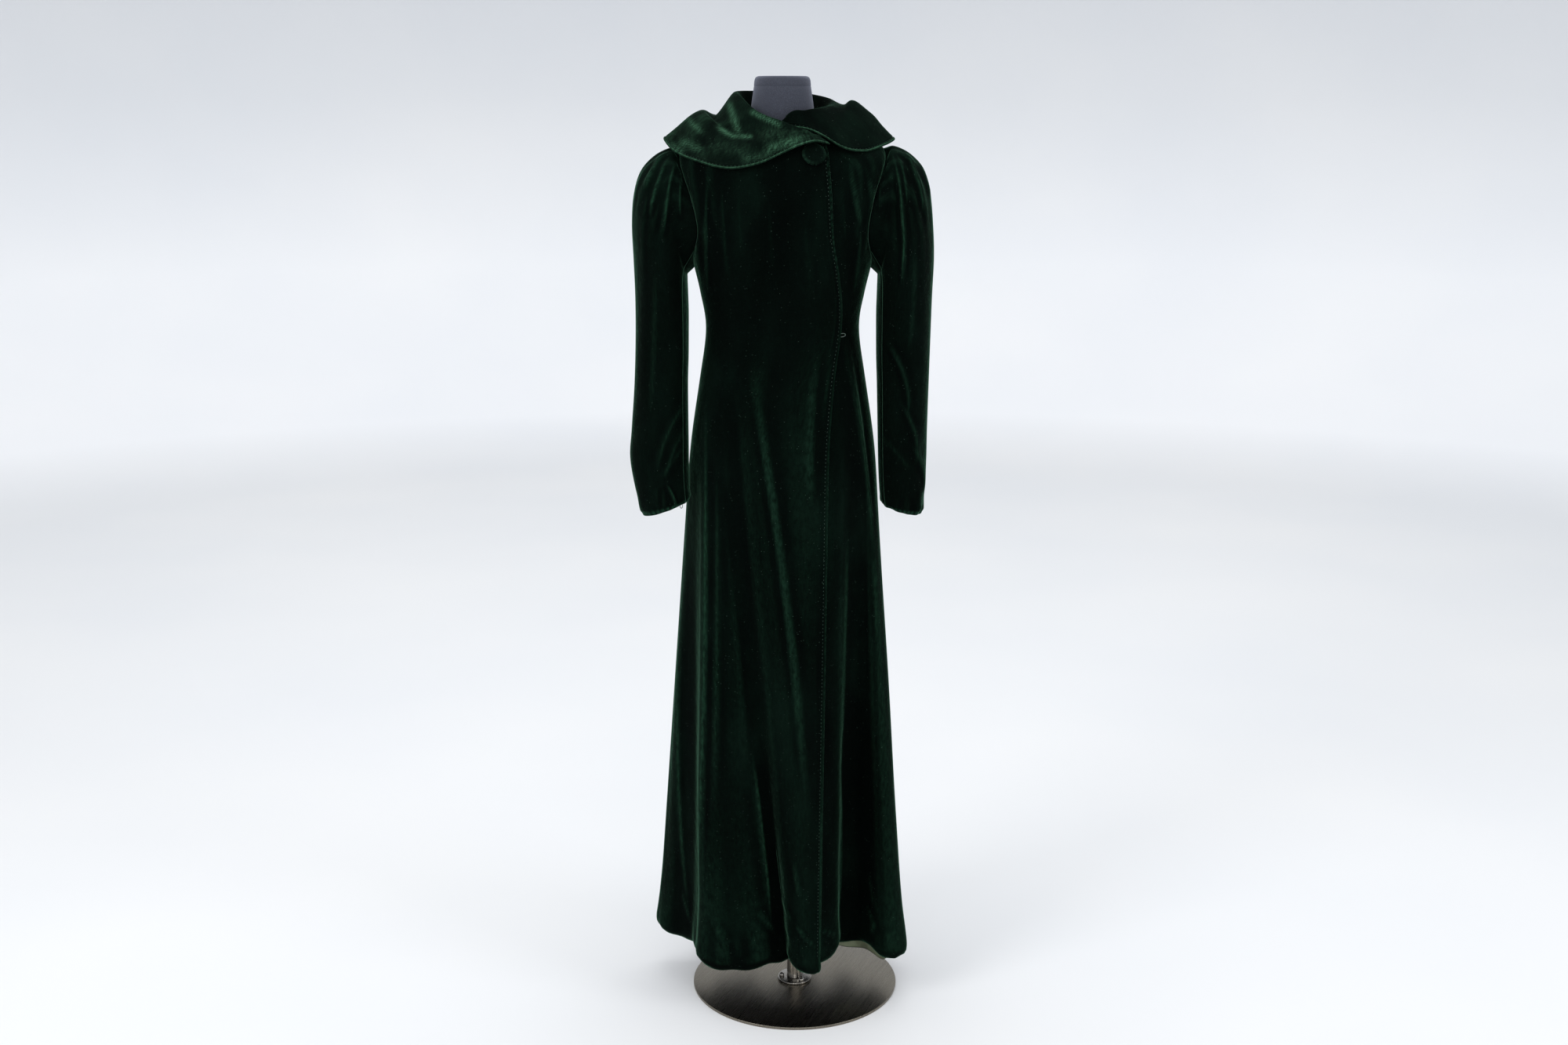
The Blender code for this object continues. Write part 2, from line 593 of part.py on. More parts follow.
def sew_sleeve(side, word, sections):
    """Build the top and the under half of one sleeve, GAP apart at both seams."""
    whole = sleeve(side, sections, np.linspace(0.0, 1.0, MIDDLE_POINTS + 1))
    middle = whole[:, :-1].mean(axis=1, keepdims=True)
    middle[0] = middle[1]
    top = sleeve(side, sections, top_shares())
    under = sleeve(side, sections, np.linspace(SLEEVE_FRONT_SEAM, SLEEVE_BACK_SEAM, UNDER_COLUMNS + 1))
    top_normal, under_normal = outward(top, middle), outward(under, middle)
    for a, a_normal, i, b, b_normal, j in ((top, top_normal, -1, under, under_normal, 0),
                                           (under, under_normal, -1, top, top_normal, 0)):
        across = unit(b[:, 1] - a[:, -2])
        normal = unit(a_normal[:, i] + b_normal[:, j])
        normal = unit(normal - across * np.sum(normal * across, axis=-1, keepdims=True))
        a_normal[:, i] = normal
        b_normal[:, j] = normal
        a[:, i] -= across * GAP / 2
        b[:, j] += across * GAP / 2
    walled(word + "_sleeve_top", top - top_normal * WALL, top, VELVET)
    walled(word + "_sleeve_under", under - under_normal * WALL, under, VELVET)


sew_sleeve(-1, "right", RIGHT_SLEEVE)
sew_sleeve(1, "left", LEFT_SLEEVE)

# Collar

rising = [(-row[0],) + row[1:] for row in COLLAR]
angles = np.linspace(COLLAR[0][0], COLLAR[-1][0], COLLAR_COLUMNS + 1)
seam_normal = unit(np.cross(body(angles + ONE_DEGREE, NECK) - body(angles - ONE_DEGREE, NECK),
                            body(angles, NECK + SMALL_RING) - body(angles, NECK)))
if seam_normal[:, 2].sum() < 0:
    seam_normal = -seam_normal
neck_width = right_start(NECK) + 90.0
on_right = (angles > -90.0) * lap_lift(NECK, (right_start(NECK) - angles) / neck_width)
seam_out = from_axis(body(angles, NECK))
seam = body(angles, NECK) + seam_normal * on_right[:, None]
over_edge = blend(COLLAR_OVER_FROM, COLLAR_OVER_FULL, angles)[:, None]
stood_in = np.array([0.0, 0.0, COLLAR_SEAM_RISE]) - seam_out * COLLAR_SEAM_INSET
laid_over = seam_normal * (WALL + 2 * GAP)
seam += stood_in * (1.0 - over_edge) + laid_over * over_edge
spots = [seam]
for k in range(4):
    radius = smooth(rising, 1 + 2 * k, -angles)
    height = smooth(rising, 2 + 2 * k, -angles)
    turn = np.radians(angles)
    spots.append(np.stack([COAT_X + radius * np.sin(turn), -radius * np.cos(turn), height], axis=-1))
collar = []
for share in COLLAR_ROWS:
    tables = [[(float(k),) + tuple(spot[j]) for k, spot in enumerate(spots)] for j in range(len(angles))]
    collar.append([[smooth(table, axis, share) for axis in (1, 2, 3)] for table in tables])
collar = np.array(collar, float)
collar_normal = unit(np.cross(np.gradient(collar, axis=1), np.gradient(collar, axis=0)))
if collar_normal[-1, :, 2].sum() < 0:
    collar_normal = -collar_normal
walled("collar", collar, collar + collar_normal * WALL, VELVET)

# Dress form, neck and stand

FORM_INSET = [(0.0, 0.0044), (1.0, 0.0006), (2.0, 0.0032), (3.0, 0.0032), (5.0, 0.0040),
              (7.0, 0.0045), (9.0, 0.0060)]
FORM_SIDES = 32
form_angles = np.arange(FORM_SIDES) * 360.0 / FORM_SIDES
form_rows = []
for ring in RING_ROWS:
    points = body(form_angles, ring)
    inset = float(smooth(FORM_INSET, 1, ring))
    form_rows.append(points - from_axis(points) * inset - np.array([0.0, 0.0, inset * float(ring <= TIP)]))
foot = form_rows[-1].copy()
foot[:, 2] = FORM_FOOT_Z
form_rows.append(foot)
neck_r, neck_z = NECK_BLOCK[0]
form_turn = np.radians(form_angles)
neck_ring = np.stack([COAT_X + neck_r * np.sin(form_turn), -neck_r * np.cos(form_turn),
                      neck_z - NECK_TILT * neck_r * np.cos(form_turn) - GAP], axis=-1)
form_rows.insert(0, neck_ring)
form_points = np.concatenate(form_rows)
form_faces = [tuple(range(FORM_SIDES))[::-1]]
for i in range(len(form_rows) - 1):
    for j in range(FORM_SIDES):
        a, b = i * FORM_SIDES + j, i * FORM_SIDES + (j + 1) % FORM_SIDES
        form_faces.append((a, b, b + FORM_SIDES, a + FORM_SIDES))
last_row = (len(form_rows) - 1) * FORM_SIDES
form_faces.append(tuple(range(last_row, last_row + FORM_SIDES)))
form_faces = [face[::-1] for face in form_faces]
finish("form_torso", form_points, form_faces, SLATE)

turned("form_neck", NECK_BLOCK, SLATE, centre=(COAT_X, 0.0), sides=32, tilt=NECK_TILT)

base_profile = [
    (BASE_R - EDGE_ROUND, 0.0),
    (BASE_R, EDGE_ROUND),
    (BASE_R, BASE_T - EDGE_ROUND),
    (BASE_R - EDGE_ROUND, BASE_T),
]
turned("base_plate", base_profile, STEEL, sides=56)
flange_z = BASE_T + GAP
flange_top = flange_z + FLANGE_T
flange_profile = [
    (FLANGE_R, flange_z),
    (FLANGE_R, flange_top - EDGE_ROUND),
    (FLANGE_R - EDGE_ROUND, flange_top),
]
turned("flange", flange_profile, STEEL, sides=32)
turned("pole", [(POLE_R, flange_top + GAP), (POLE_R, FORM_FOOT_Z - GAP)], STEEL, sides=24)
for number, degrees in enumerate(SCREW_ANGLES, start=1):
    turn = math.radians(degrees)
    place = (SCREW_RING * math.cos(turn), SCREW_RING * math.sin(turn))
    head = [(radius, flange_top + GAP + rise) for radius, rise in SCREW_HEAD]
    turned("flange_screw_%d" % number, head, STEEL, centre=place, sides=12)

# Button and thread loops


def surface(ring, x, lift):
    """A place on the outer face of a front that is lifted so far, and the way out from it."""
    angle = float(np.degrees(np.arcsin(x / smooth(RING_TABLE, 1, ring))))
    across = body(angle + ONE_DEGREE, ring) - body(angle - ONE_DEGREE, ring)
    down = body(angle, ring + SMALL_RING) - body(angle, ring - SMALL_RING)
    way = unit(np.cross(across, down))
    if way[1] > 0:
        way = -way
    return body(angle, ring) + way * (float(lift) + WALL), way


def seated(thing, place, way, rise):
    """Stand a turned piece on a place, its axis along the way out."""
    thing.location = tuple(place + way * rise)
    thing.rotation_euler = Vector(way).to_track_quat("Z", "Y").to_euler()


button = turned("button", BUTTON, VELVET, sides=20)
place, way = surface(BUTTON_RING, BUTTON_X, lap_lift(BUTTON_RING, 0.0))
seated(button, place, way, BUTTON_SEAT)


def wire(name, spine, radius, material, sides=6):
    """A round thread or wire bent along a row of points."""
    spine = np.array(spine)
    forward = unit(np.gradient(spine, axis=0))
    points, faces = [], []
    side = unit(np.cross(forward[0], np.array([0.0, 1.0, 0.0])))
    for here, ahead in zip(spine, forward):
        side = unit(side - ahead * np.dot(side, ahead))
        other = np.cross(ahead, side)
        for k in range(sides):
            turn = 2 * math.pi * k / sides
            points.append(here + radius * (math.cos(turn) * side + math.sin(turn) * other))
    for i in range(len(spine) - 1):
        for k in range(sides):
            a, b = i * sides + k, i * sides + (k + 1) % sides
            faces.append((a, b, b + sides, a + sides))
    faces.append(tuple(reversed(range(sides))))
    faces.append(tuple(range((len(spine) - 1) * sides, len(spine) * sides)))
    return finish(name, points, faces, material)


def loop_spine(start, along_way, across_way, up_way, length, half, rise):
    """A small loop: out from its start, round, and back beside it, a little raised."""
    spine = []
    for k in range(LOOP_STEPS + 1):
        turn = math.pi * k / LOOP_STEPS
        out = length * math.sin(turn) ** LOOP_SQUARENESS
        spine.append(start + along_way * out + across_way * half * math.cos(turn) + up_way * rise)
    return spine


first, way = surface(LOOP_RING, LOOP_X[0], 0.0)
last, _ = surface(LOOP_RING, LOOP_X[1], 0.0)
reach = last - first
wire("waist_loop", loop_spine(first, unit(reach), np.array([0.0, 0.0, 1.0]), way,
                              float(np.linalg.norm(reach)), LOOP_HALF, LOOP_RISE),
     LOOP_WIRE_R, VELVET)

cuff = sleeve(-1, RIGHT_SLEEVE, CUFF_LOOP_AT + np.array([-PLEAT_HALF_WIDTH, 0.0, PLEAT_HALF_WIDTH]))
down = unit(cuff[-1, 1] - cuff[-2, 1])
across_cuff = unit(cuff[-1, 2] - cuff[-1, 0])
out_of_cuff = np.cross(down, across_cuff)
if out_of_cuff[1] > 0:
    out_of_cuff = -out_of_cuff
wire("cuff_loop", loop_spine(cuff[-1, 1] + down * (LOOP_WIRE_R + GAP), down, across_cuff, out_of_cuff,
                             CUFF_LOOP_LENGTH, LOOP_HALF, -WALL / 2),
     LOOP_WIRE_R, VELVET)
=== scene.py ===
"""A long green velvet coat on a limbless dress form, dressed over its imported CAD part.

Metres, +Z up. X runs to the viewer's right and the coat's front faces -Y.
Right and left are the wearer's own.
"""
import math

import bpy
import numpy as np
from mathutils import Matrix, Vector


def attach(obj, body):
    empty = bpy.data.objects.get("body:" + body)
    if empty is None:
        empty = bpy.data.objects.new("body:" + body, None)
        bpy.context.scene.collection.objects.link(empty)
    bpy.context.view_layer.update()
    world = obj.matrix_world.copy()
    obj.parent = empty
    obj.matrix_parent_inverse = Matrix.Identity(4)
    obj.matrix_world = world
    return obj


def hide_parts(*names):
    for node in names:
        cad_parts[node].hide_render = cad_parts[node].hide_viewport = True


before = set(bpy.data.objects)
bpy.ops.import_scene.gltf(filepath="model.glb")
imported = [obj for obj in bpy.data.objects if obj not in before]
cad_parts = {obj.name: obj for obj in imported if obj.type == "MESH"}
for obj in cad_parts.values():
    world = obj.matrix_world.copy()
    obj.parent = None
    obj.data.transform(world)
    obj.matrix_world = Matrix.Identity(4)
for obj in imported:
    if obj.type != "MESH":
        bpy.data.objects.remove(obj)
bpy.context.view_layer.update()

# The studio: a pale sweep of seamless paper, lit by five soft boxes. The camera stands three metres
# off at head height and looks down a little on the coat.
PAPER_RADIUS = 4.6
PAPER_BEND = 3.0
PAPER_TOP = 3.4
PAPER_ROWS, PAPER_FLAT_ROWS, PAPER_SIDES = 40, 10, 96
PAPER_HEIGHT = 2.4           # the height over which the paper's tone falls off
VIEW_PITCH = math.radians(13.13)
VIEW_PLACE = (-0.019, -2.953, 1.528)
TILT_ROWS = 6.0              # rows of a turned form over which its tilt fades


def link(name, mesh, material):
    """A new object in the scene, with its mesh and material."""
    mesh.materials.append(material)
    thing = bpy.data.objects.new(name, mesh)
    bpy.context.scene.collection.objects.link(thing)
    return thing


def smooth_piece(name, points, faces, material, sharp=None):
    """An object shaded smooth, but for the edges that turn by more than an angle in degrees."""
    mesh = bpy.data.meshes.new(name)
    mesh.from_pydata(points, [], faces)
    mesh.shade_smooth()
    if sharp:
        mesh.set_sharp_from_angle(angle=math.radians(sharp))
    return link(name, mesh, material)


def adder(tree):
    """The functions that add a node to a tree and join one to an input; a node stands for its
    first output. A new node's values are numbers, what feeds an input, or its own settings."""

    def join(source, node, label):
        output = source.outputs[0] if isinstance(source, bpy.types.Node) else source
        tree.links.new(output, node.inputs[label])

    def add(kind, **values):
        node = tree.nodes.new(kind)
        for key, value in values.items():
            label = key.replace("_", " ")
            if label not in node.inputs:
                setattr(node, key, value)
            elif isinstance(value, (bpy.types.Node, bpy.types.NodeSocket)):
                join(value, node, label)
            else:
                node.inputs[label].default_value = value
        return node

    return add, join


def material_nodes(name, colour, roughness, **values):
    """A new material, its shader with the given values, and the two functions of its tree."""
    material = bpy.data.materials.new(name)
    material.use_nodes = True
    shader = material.node_tree.nodes["Principled BSDF"]
    shader.inputs["Base Color"].default_value = (*colour, 1.0)
    shader.inputs["Roughness"].default_value = roughness
    for key, value in values.items():
        shader.inputs[key.replace("_", " ")].default_value = value
    return (material, shader) + adder(material.node_tree)


def ramp(add, source, *stops):
    """A colour ramp fed by a node, from (place, colour) stops; a single number is a grey."""
    node = add("ShaderNodeValToRGB", Fac=source)
    elements = node.color_ramp.elements
    while len(elements) < len(stops):
        elements.new(0.5)
    for element, (place, colour) in zip(elements, stops):
        element.position = place
        colour = (colour,) * 3 if isinstance(colour, float) else colour
        element.color = (*colour, 1.0)
    return node


def noise(add, vector, scale, detail, **more):
    return add("ShaderNodeTexNoise", Vector=vector, Scale=scale, Detail=detail, **more)


def mixed(add, kind, share, first, second):
    """Two colours mixed or multiplied, each a node or a plain colour."""
    return add("ShaderNodeMixRGB", blend_type=kind, Fac=share, Color1=first, Color2=second)


def lathe(rows, sides, centre=(0.0, 0.0), tilt=0.0, last_cap=True):
    """Points and faces of a turned form from (radius, height) rows; tilt leans its first rows."""
    turn = np.arange(sides) * 2 * math.pi / sides
    points = []
    for k, (radius, z) in enumerate(rows):
        x, y = radius * np.cos(turn), radius * np.sin(turn)
        fade = tilt * max(0.0, 1.0 - k / TILT_ROWS)
        points.append(np.stack([centre[0] + x, centre[1] + y, z + fade * y], axis=-1))
    points = np.concatenate(points)
    j = np.arange(sides)
    after = (j + 1) % sides
    faces = []
    for k in range(len(rows) - 1):
        low, high = k * sides, (k + 1) * sides
        faces += np.stack([low + j, low + after, high + after, high + j], axis=-1).tolist()
    for k in (0, len(rows) - 1) if last_cap else (0,):
        ring = k * sides
        hub = np.full(sides, len(points))
        points = np.concatenate([points, [points[ring:ring + sides].mean(axis=0)]])
        ends = (ring + after, ring + j) if k == 0 else (ring + j, ring + after)
        faces += np.stack([hub, *ends], axis=-1).tolist()
    return points.tolist(), faces


def turned(name, rows, material, sides=96, centre=(0.0, 0.0), tilt=0.0):
    return smooth_piece(name, *lathe(rows, sides, centre, tilt), material, 35.0)


paper, shader, add, join = material_nodes("seamless paper", (0.86, 0.87, 0.885), 0.9)
place = add("ShaderNodeTexCoord").outputs["Object"]
tint = ramp(add, noise(add, place, 0.9, 2.0), (0.3, (0.95, 0.96, 0.975)), (0.7, 1.0))
# Painted shade by height: the paper is coloured darker on the flat floor and darker again towards the top of
# the sweep, and palest just above the floor.
height = add("ShaderNodeSeparateXYZ", Vector=place).outputs["Z"]
metres = add("ShaderNodeMapRange", From_Max=PAPER_HEIGHT, Value=height)
painted_shade_by_height = ramp(add, metres, (0.0, (0.83, 0.832, 0.834)), (0.05, (0.965, 0.965, 0.97)),
            (0.3, (0.95, 0.953, 0.96)), (0.65, (0.78, 0.788, 0.80)), (1.0, (0.68, 0.692, 0.71)))
join(mixed(add, "MULTIPLY", 1.0, painted_shade_by_height, tint), shader, "Base Color")
sweep = [(PAPER_RADIUS * k / PAPER_FLAT_ROWS, 0.0) for k in range(1, PAPER_FLAT_ROWS + 1)]
for k in range(1, PAPER_ROWS - PAPER_FLAT_ROWS):
    turn = 0.5 * math.pi * k / (PAPER_ROWS - PAPER_FLAT_ROWS)
    sweep.append((PAPER_RADIUS + PAPER_BEND * math.sin(turn), PAPER_TOP * (1.0 - math.cos(turn))))
floor_points, floor_faces = lathe(sweep, PAPER_SIDES, last_cap=False)
floor = smooth_piece("floor", floor_points, [corners[::-1] for corners in floor_faces], paper)

world = bpy.data.worlds.new("studio")
bpy.context.scene.world = world
world.use_nodes = True
world.node_tree.nodes["Background"].inputs["Color"].default_value = (0.90, 0.925, 0.96, 1.0)
world.node_tree.nodes["Background"].inputs["Strength"].default_value = 0.88

# Lamps: name, place, the point it shines at, width, height, watts
LAMPS = [
    ("key box", (-2.3, -2.1, 2.5), (0.0, 0.0, 0.8), 1.3, 1.7, 42.0),
    ("fill box", (2.7, -1.5, 2.1), (0.0, 0.0, 0.9), 1.3, 1.9, 24.0),
    ("top box", (0.0, 0.3, 3.2), (0.0, 0.0, 0.0), 1.8, 1.8, 14.0),
    ("front box", (0.2, -4.4, 1.5), (0.0, -0.6, 0.0), 2.4, 0.8, 22.0),
    ("wall box", (0.0, 1.2, 4.2), (0.0, 7.0, 1.0), 4.0, 1.0, 50.0),
]
for name, spot, target, width, height, watts in LAMPS:
    lamp = bpy.data.lights.new(name, "AREA")
    lamp.shape = "RECTANGLE"
    lamp.size, lamp.size_y, lamp.energy = width, height, watts
    light = bpy.data.objects.new(name, lamp)
    bpy.context.scene.collection.objects.link(light)
    light.location = spot
    aim = Vector(target) - Vector(spot)
    light.rotation_euler = aim.to_track_quat("-Z", "Y").to_euler()

eye = bpy.data.cameras.new("camera")
eye.sensor_width, eye.lens = 36.0, 41.4
camera = bpy.data.objects.new("camera", eye)
bpy.context.scene.collection.objects.link(camera)
camera.location = VIEW_PLACE
camera.rotation_euler = (math.pi / 2 - VIEW_PITCH, 0.0, 0.0)
bpy.context.scene.camera = camera
bpy.context.scene.view_settings.view_transform = "Standard"

# The stand: a round plate of brushed steel, and a flange held down by three domed screws with
# socketed heads. A steel tube stands in the flange and carries the form.
BASE_R, BASE_T = 0.1800, 0.0045
EDGE = 0.0007
FLANGE_R, FLANGE_T, FLANGE_EDGE = 0.0299, 0.0040, 0.0011
POLE_R, FORM_FOOT_Z = 0.0138, 0.930
FIT = 0.0003
SCREW_COUNT, SCREW_RING, SCREW_R, SCREW_RISE = 3, 0.0232, 0.0046, 0.0052
SOCKET_R, SOCKET_DEEP = 0.0017, 0.0012
SOCKET_LIP, SCREW_SIDE = 0.0003, 0.0020      # lip round the socket, height of the dome's foot


def bump(add, source, strength, distance, **more):
    return add("ShaderNodeBump", Strength=strength, Distance=distance, Height=source, **more)


steel, shader, add, join = material_nodes("brushed steel plate", (0.46, 0.44, 0.415), 0.30,
                                          Metallic=1.0, Anisotropic=0.35)
place = add("ShaderNodeTexCoord").outputs["Object"]
lay = add("ShaderNodeMapping", vector_type="TEXTURE", Vector=place, Scale=(0.0011, 0.14, 0.03),
          Rotation=(0.0, 0.0, math.radians(-22.0)))
grain = noise(add, lay, 1.0, 5.0, Roughness=0.7)
shade = ramp(add, grain, (0.2, (0.128, 0.115, 0.090)), (0.85, (0.272, 0.248, 0.204)))
join(ramp(add, grain, (0.25, 0.22), (0.8, 0.36)), shader, "Roughness")
join(shade, shader, "Base Color")
join(bump(add, grain, 0.24, 0.0001), shader, "Normal")

tube_steel, shader, add, join = material_nodes("drawn steel tube", (0.34, 0.325, 0.30), 0.22,
                                               Metallic=1.0)
place = add("ShaderNodeTexCoord").outputs["Object"]
drawn = noise(add, add("ShaderNodeMapping", Vector=place, Scale=(900.0, 900.0, 12.0)), 1.0, 3.0)
join(ramp(add, drawn, (0.3, 0.16), (0.75, 0.34)), shader, "Roughness")
join(bump(add, drawn, 0.2, 0.0001), shader, "Normal")


def rounded_disc(radius, low, high, edge):
    """Rows of a disc whose rim is rounded over, from the middle of its underside to its top."""
    rows = [(radius * 0.5, low)]
    for k in range(5):
        turn = 0.5 * math.pi * k / 4
        rows.append((radius - edge + edge * math.sin(turn), low + edge - edge * math.cos(turn)))
    for k in range(5):
        turn = 0.5 * math.pi * k / 4
        rows.append((radius - edge + edge * math.cos(turn), high - edge + edge * math.sin(turn)))
    rows.append((radius * 0.5, high))
    return rows


plate = turned("base_plate_turned", rounded_disc(BASE_R, 0.0, BASE_T, EDGE), steel, 192)
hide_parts("base_plate")
flange_z = BASE_T + FIT
flange_top = flange_z + FLANGE_T
disc = rounded_disc(FLANGE_R, flange_z, flange_top, FLANGE_EDGE)
flange = turned("flange_turned", disc, tube_steel, 96)
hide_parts("flange")
pole_rows = [(POLE_R * 0.5, flange_top + FIT), (POLE_R - EDGE, flange_top + FIT),
             (POLE_R, flange_top + FIT + EDGE)]
pole_rows += [(POLE_R, flange_top + FIT + EDGE + (FORM_FOOT_Z - FIT - flange_top - 3 * EDGE) * k / 12)
              for k in range(1, 13)]
pole_rows += [(POLE_R - EDGE, FORM_FOOT_Z - FIT), (POLE_R * 0.5, FORM_FOOT_Z - FIT)]
pole = turned("pole_tube", pole_rows, tube_steel, 64)
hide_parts("pole")
for thing in (plate, flange, pole):
    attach(thing, "root")

screw_rows = [(SOCKET_R, SCREW_RISE - SOCKET_DEEP), (SOCKET_R, SCREW_RISE - 0.0001),
              (SOCKET_R + SOCKET_LIP, SCREW_RISE)]
for k in range(1, 9):
    turn = 0.5 * math.pi * k / 8
    screw_rows.append((SOCKET_R + SOCKET_LIP + (SCREW_R - SOCKET_R - SOCKET_LIP) * math.sin(turn),
                       SCREW_SIDE + (SCREW_RISE - SCREW_SIDE) * math.cos(turn)))
screw_rows += [(SCREW_R, 0.0003), (SCREW_R - 0.0003, 0.0)]
screw_head = smooth_piece("screw_head", *lathe(screw_rows[::-1], 24), tube_steel, 40.0)


def grown(name, tree, values, source=None):
    """Run a node tree on a new object with the given input values and keep its result as a mesh."""
    holder = bpy.data.objects.new(name + "_holder", source or bpy.data.meshes.new(name + "_seed"))
    bpy.context.scene.collection.objects.link(holder)
    step = holder.modifiers.new("grow", "NODES")
    step.node_group = tree
    for item in tree.interface.items_tree:
        if item.item_type == "SOCKET" and item.in_out == "INPUT" and item.name in values:
            step[item.identifier] = values[item.name]
    seen = holder.evaluated_get(bpy.context.evaluated_depsgraph_get())
    mesh = bpy.data.meshes.new_from_object(seen)
    holder.modifiers.clear()
    bpy.data.objects.remove(holder)
    mesh.name = name
    thing = bpy.data.objects.new(name, mesh)
    bpy.context.scene.collection.objects.link(thing)
    return thing


def new_tree(name, *sockets):
    """A node tree with named inputs, each (name, kind, value), and what it takes to fill it."""
    tree = bpy.data.node_groups.new(name, "GeometryNodeTree")
    tree.interface.new_socket("Geometry", in_out="INPUT", socket_type="NodeSocketGeometry")
    for label, kind, value in sockets:
        socket = tree.interface.new_socket(label, in_out="INPUT", socket_type="NodeSocket" + kind)
        if value is not None:
            socket.default_value = value
    tree.interface.new_socket("Geometry", in_out="OUTPUT", socket_type="NodeSocketGeometry")
    add, join = adder(tree)
    given = add("NodeGroupInput").outputs
    outlet = add("NodeGroupOutput")

    def close(source):
        """End the tree: its instances made real and given their material."""
        real = add("GeometryNodeRealizeInstances", Geometry=source)
        painted = add("GeometryNodeSetMaterial", Geometry=real, Material=given["Finish"])
        join(painted, outlet, "Geometry")

    return tree, add, join, given, close


tree, add, join, given, close = new_tree(
    "ring of screws", ("Head", "Object", None), ("Count", "Int", 3), ("Ring", "Float", 0.02),
    ("Height", "Float", 0.0), ("Finish", "Material", None))
circle = add("GeometryNodeMeshCircle", Vertices=given["Count"], Radius=given["Ring"])
lift = add("ShaderNodeCombineXYZ", Z=given["Height"])
ring_spots = add("GeometryNodeTransform", Geometry=circle, Translation=lift)
heads = add("GeometryNodeObjectInfo", transform_space="ORIGINAL", Object=given["Head"])
close(add("GeometryNodeInstanceOnPoints", Points=ring_spots, Instance=heads.outputs["Geometry"]))
screws = grown("flange_screws", tree, {"Head": screw_head, "Count": SCREW_COUNT, "Ring": -SCREW_RING,
                                       "Height": flange_top + FIT, "Finish": tube_steel})
bpy.data.objects.remove(screw_head)
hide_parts("flange_screw_1", "flange_screw_2", "flange_screw_3")
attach(screws, "root")

# The dress form: a padded limbless torso and a neck block, both covered in slate jersey that is
# drawn tight. The coat hangs on it and hides all but the neck; the torso shows from below.
COAT_X = -0.0215
NECK_BLOCK = [(0.0515, 1.4920), (0.0513, 1.4985), (0.0510, 1.5060), (0.0507, 1.5146), (0.0493, 1.5255),
              (0.0478, 1.5365), (0.0465, 1.5450), (0.0455, 1.5516), (0.0452, 1.5522), (0.04545, 1.5529),
              (0.0453, 1.5560), (0.0450, 1.5590), (0.0445, 1.5620), (0.0437, 1.5643), (0.0424, 1.5661),
              (0.0405, 1.5673), (0.0383, 1.5680), (0.0200, 1.5680)]
NECK_TILT = 0.30
# Rings of the body from the neckline down to the hip:
# half width, front, back, z at the side, z at the front, z at the back, roundness
RINGS = [
    (0.062, 0.064, 0.052, 1.490, 1.464, 1.500, 0.82),
    (0.105, 0.090, 0.076, 1.474, 1.446, 1.480, 0.76),
    (0.160, 0.106, 0.094, 1.455, 1.408, 1.453, 0.62),
    (0.160, 0.118, 0.103, 1.392, 1.365, 1.398, 0.60),
    (0.151, 0.126, 0.107, 1.330, 1.323, 1.335, 0.67),
    (0.144, 0.128, 0.105, 1.282, 1.282, 1.284, 0.76),
    (0.132, 0.118, 0.097, 1.228, 1.228, 1.228, 0.80),
    (0.1235, 0.103, 0.089, 1.168, 1.168, 1.168, 0.84),
    (0.134, 0.111, 0.106, 1.087, 1.087, 1.087, 0.84),
    (0.151, 0.122, 0.128, 0.982, 0.982, 0.982, 0.84),
]
NECK, TIP, UNDERARM, HIP = 0.0, 2.0, 5.3, 9.0
# How far the form lies inside the cloth: ring number, inset
FORM_INSET = [(0.0, 0.0044), (1.0, 0.0010), (2.0, 0.0042), (3.0, 0.0045), (5.0, 0.0055),
              (7.0, 0.0060), (8.0, 0.0080), (9.0, 0.0130)]
# The torso's foot: share of the way down from the hip, how far it draws in
FORM_FOOT = [(0.30, 0.0), (0.70, 0.001), (0.90, 0.004), (1.0, 0.010)]
FORM_SIDES, FORM_ROWS = 96, 55


def hermite(t, step, start, end, start_slope, end_slope):
    """A smooth run from start to end as t goes from 0 to 1."""
    return ((2 * t**3 - 3 * t**2 + 1) * start + (t**3 - 2 * t**2 + t) * step * start_slope
            + (3 * t**2 - 2 * t**3) * end + (t**3 - t**2) * step * end_slope)


def smooth(table, column, at):
    """Read a smooth curve through one column of a table, whose first column is the place."""
    place = np.array([row[0] for row in table], float)
    value = np.array([row[column] for row in table], float)
    slope = np.gradient(value, place)
    at = np.clip(np.asarray(at, float), place[0], place[-1])
    i = np.clip(np.searchsorted(place, at, side="right") - 1, 0, len(place) - 2)
    step = place[i + 1] - place[i]
    t = (at - place[i]) / step
    return hermite(t, step, value[i], value[i + 1], slope[i], slope[i + 1])


def blend(low, high, at):
    """Rise softly from 0 at low to 1 at high."""
    t = np.clip((np.asarray(at, float) - low) / (high - low), 0.0, 1.0)
    return t * t * (3 - 2 * t)


def span(rise_from, rise_to, fall_from, fall_to, at):
    """1 in the middle of a span and 0 outside it, with soft ends."""
    return blend(rise_from, rise_to, at) * (1.0 - blend(fall_from, fall_to, at))


def hump(away, width):
    """1 on a line, falling away softly to both sides."""
    return np.exp(-((away / width) ** 2))


def unit(vectors):
    return vectors / np.maximum(np.linalg.norm(vectors, axis=-1, keepdims=True), 1e-12)


def from_axis(points):
    """The level way out from the coat's upright axis."""
    return unit((points - np.array([COAT_X, 0.0, 0.0])) * np.array([1.0, 1.0, 0.0]))


RING_TABLE = [(float(i),) + row for i, row in enumerate(RINGS)]


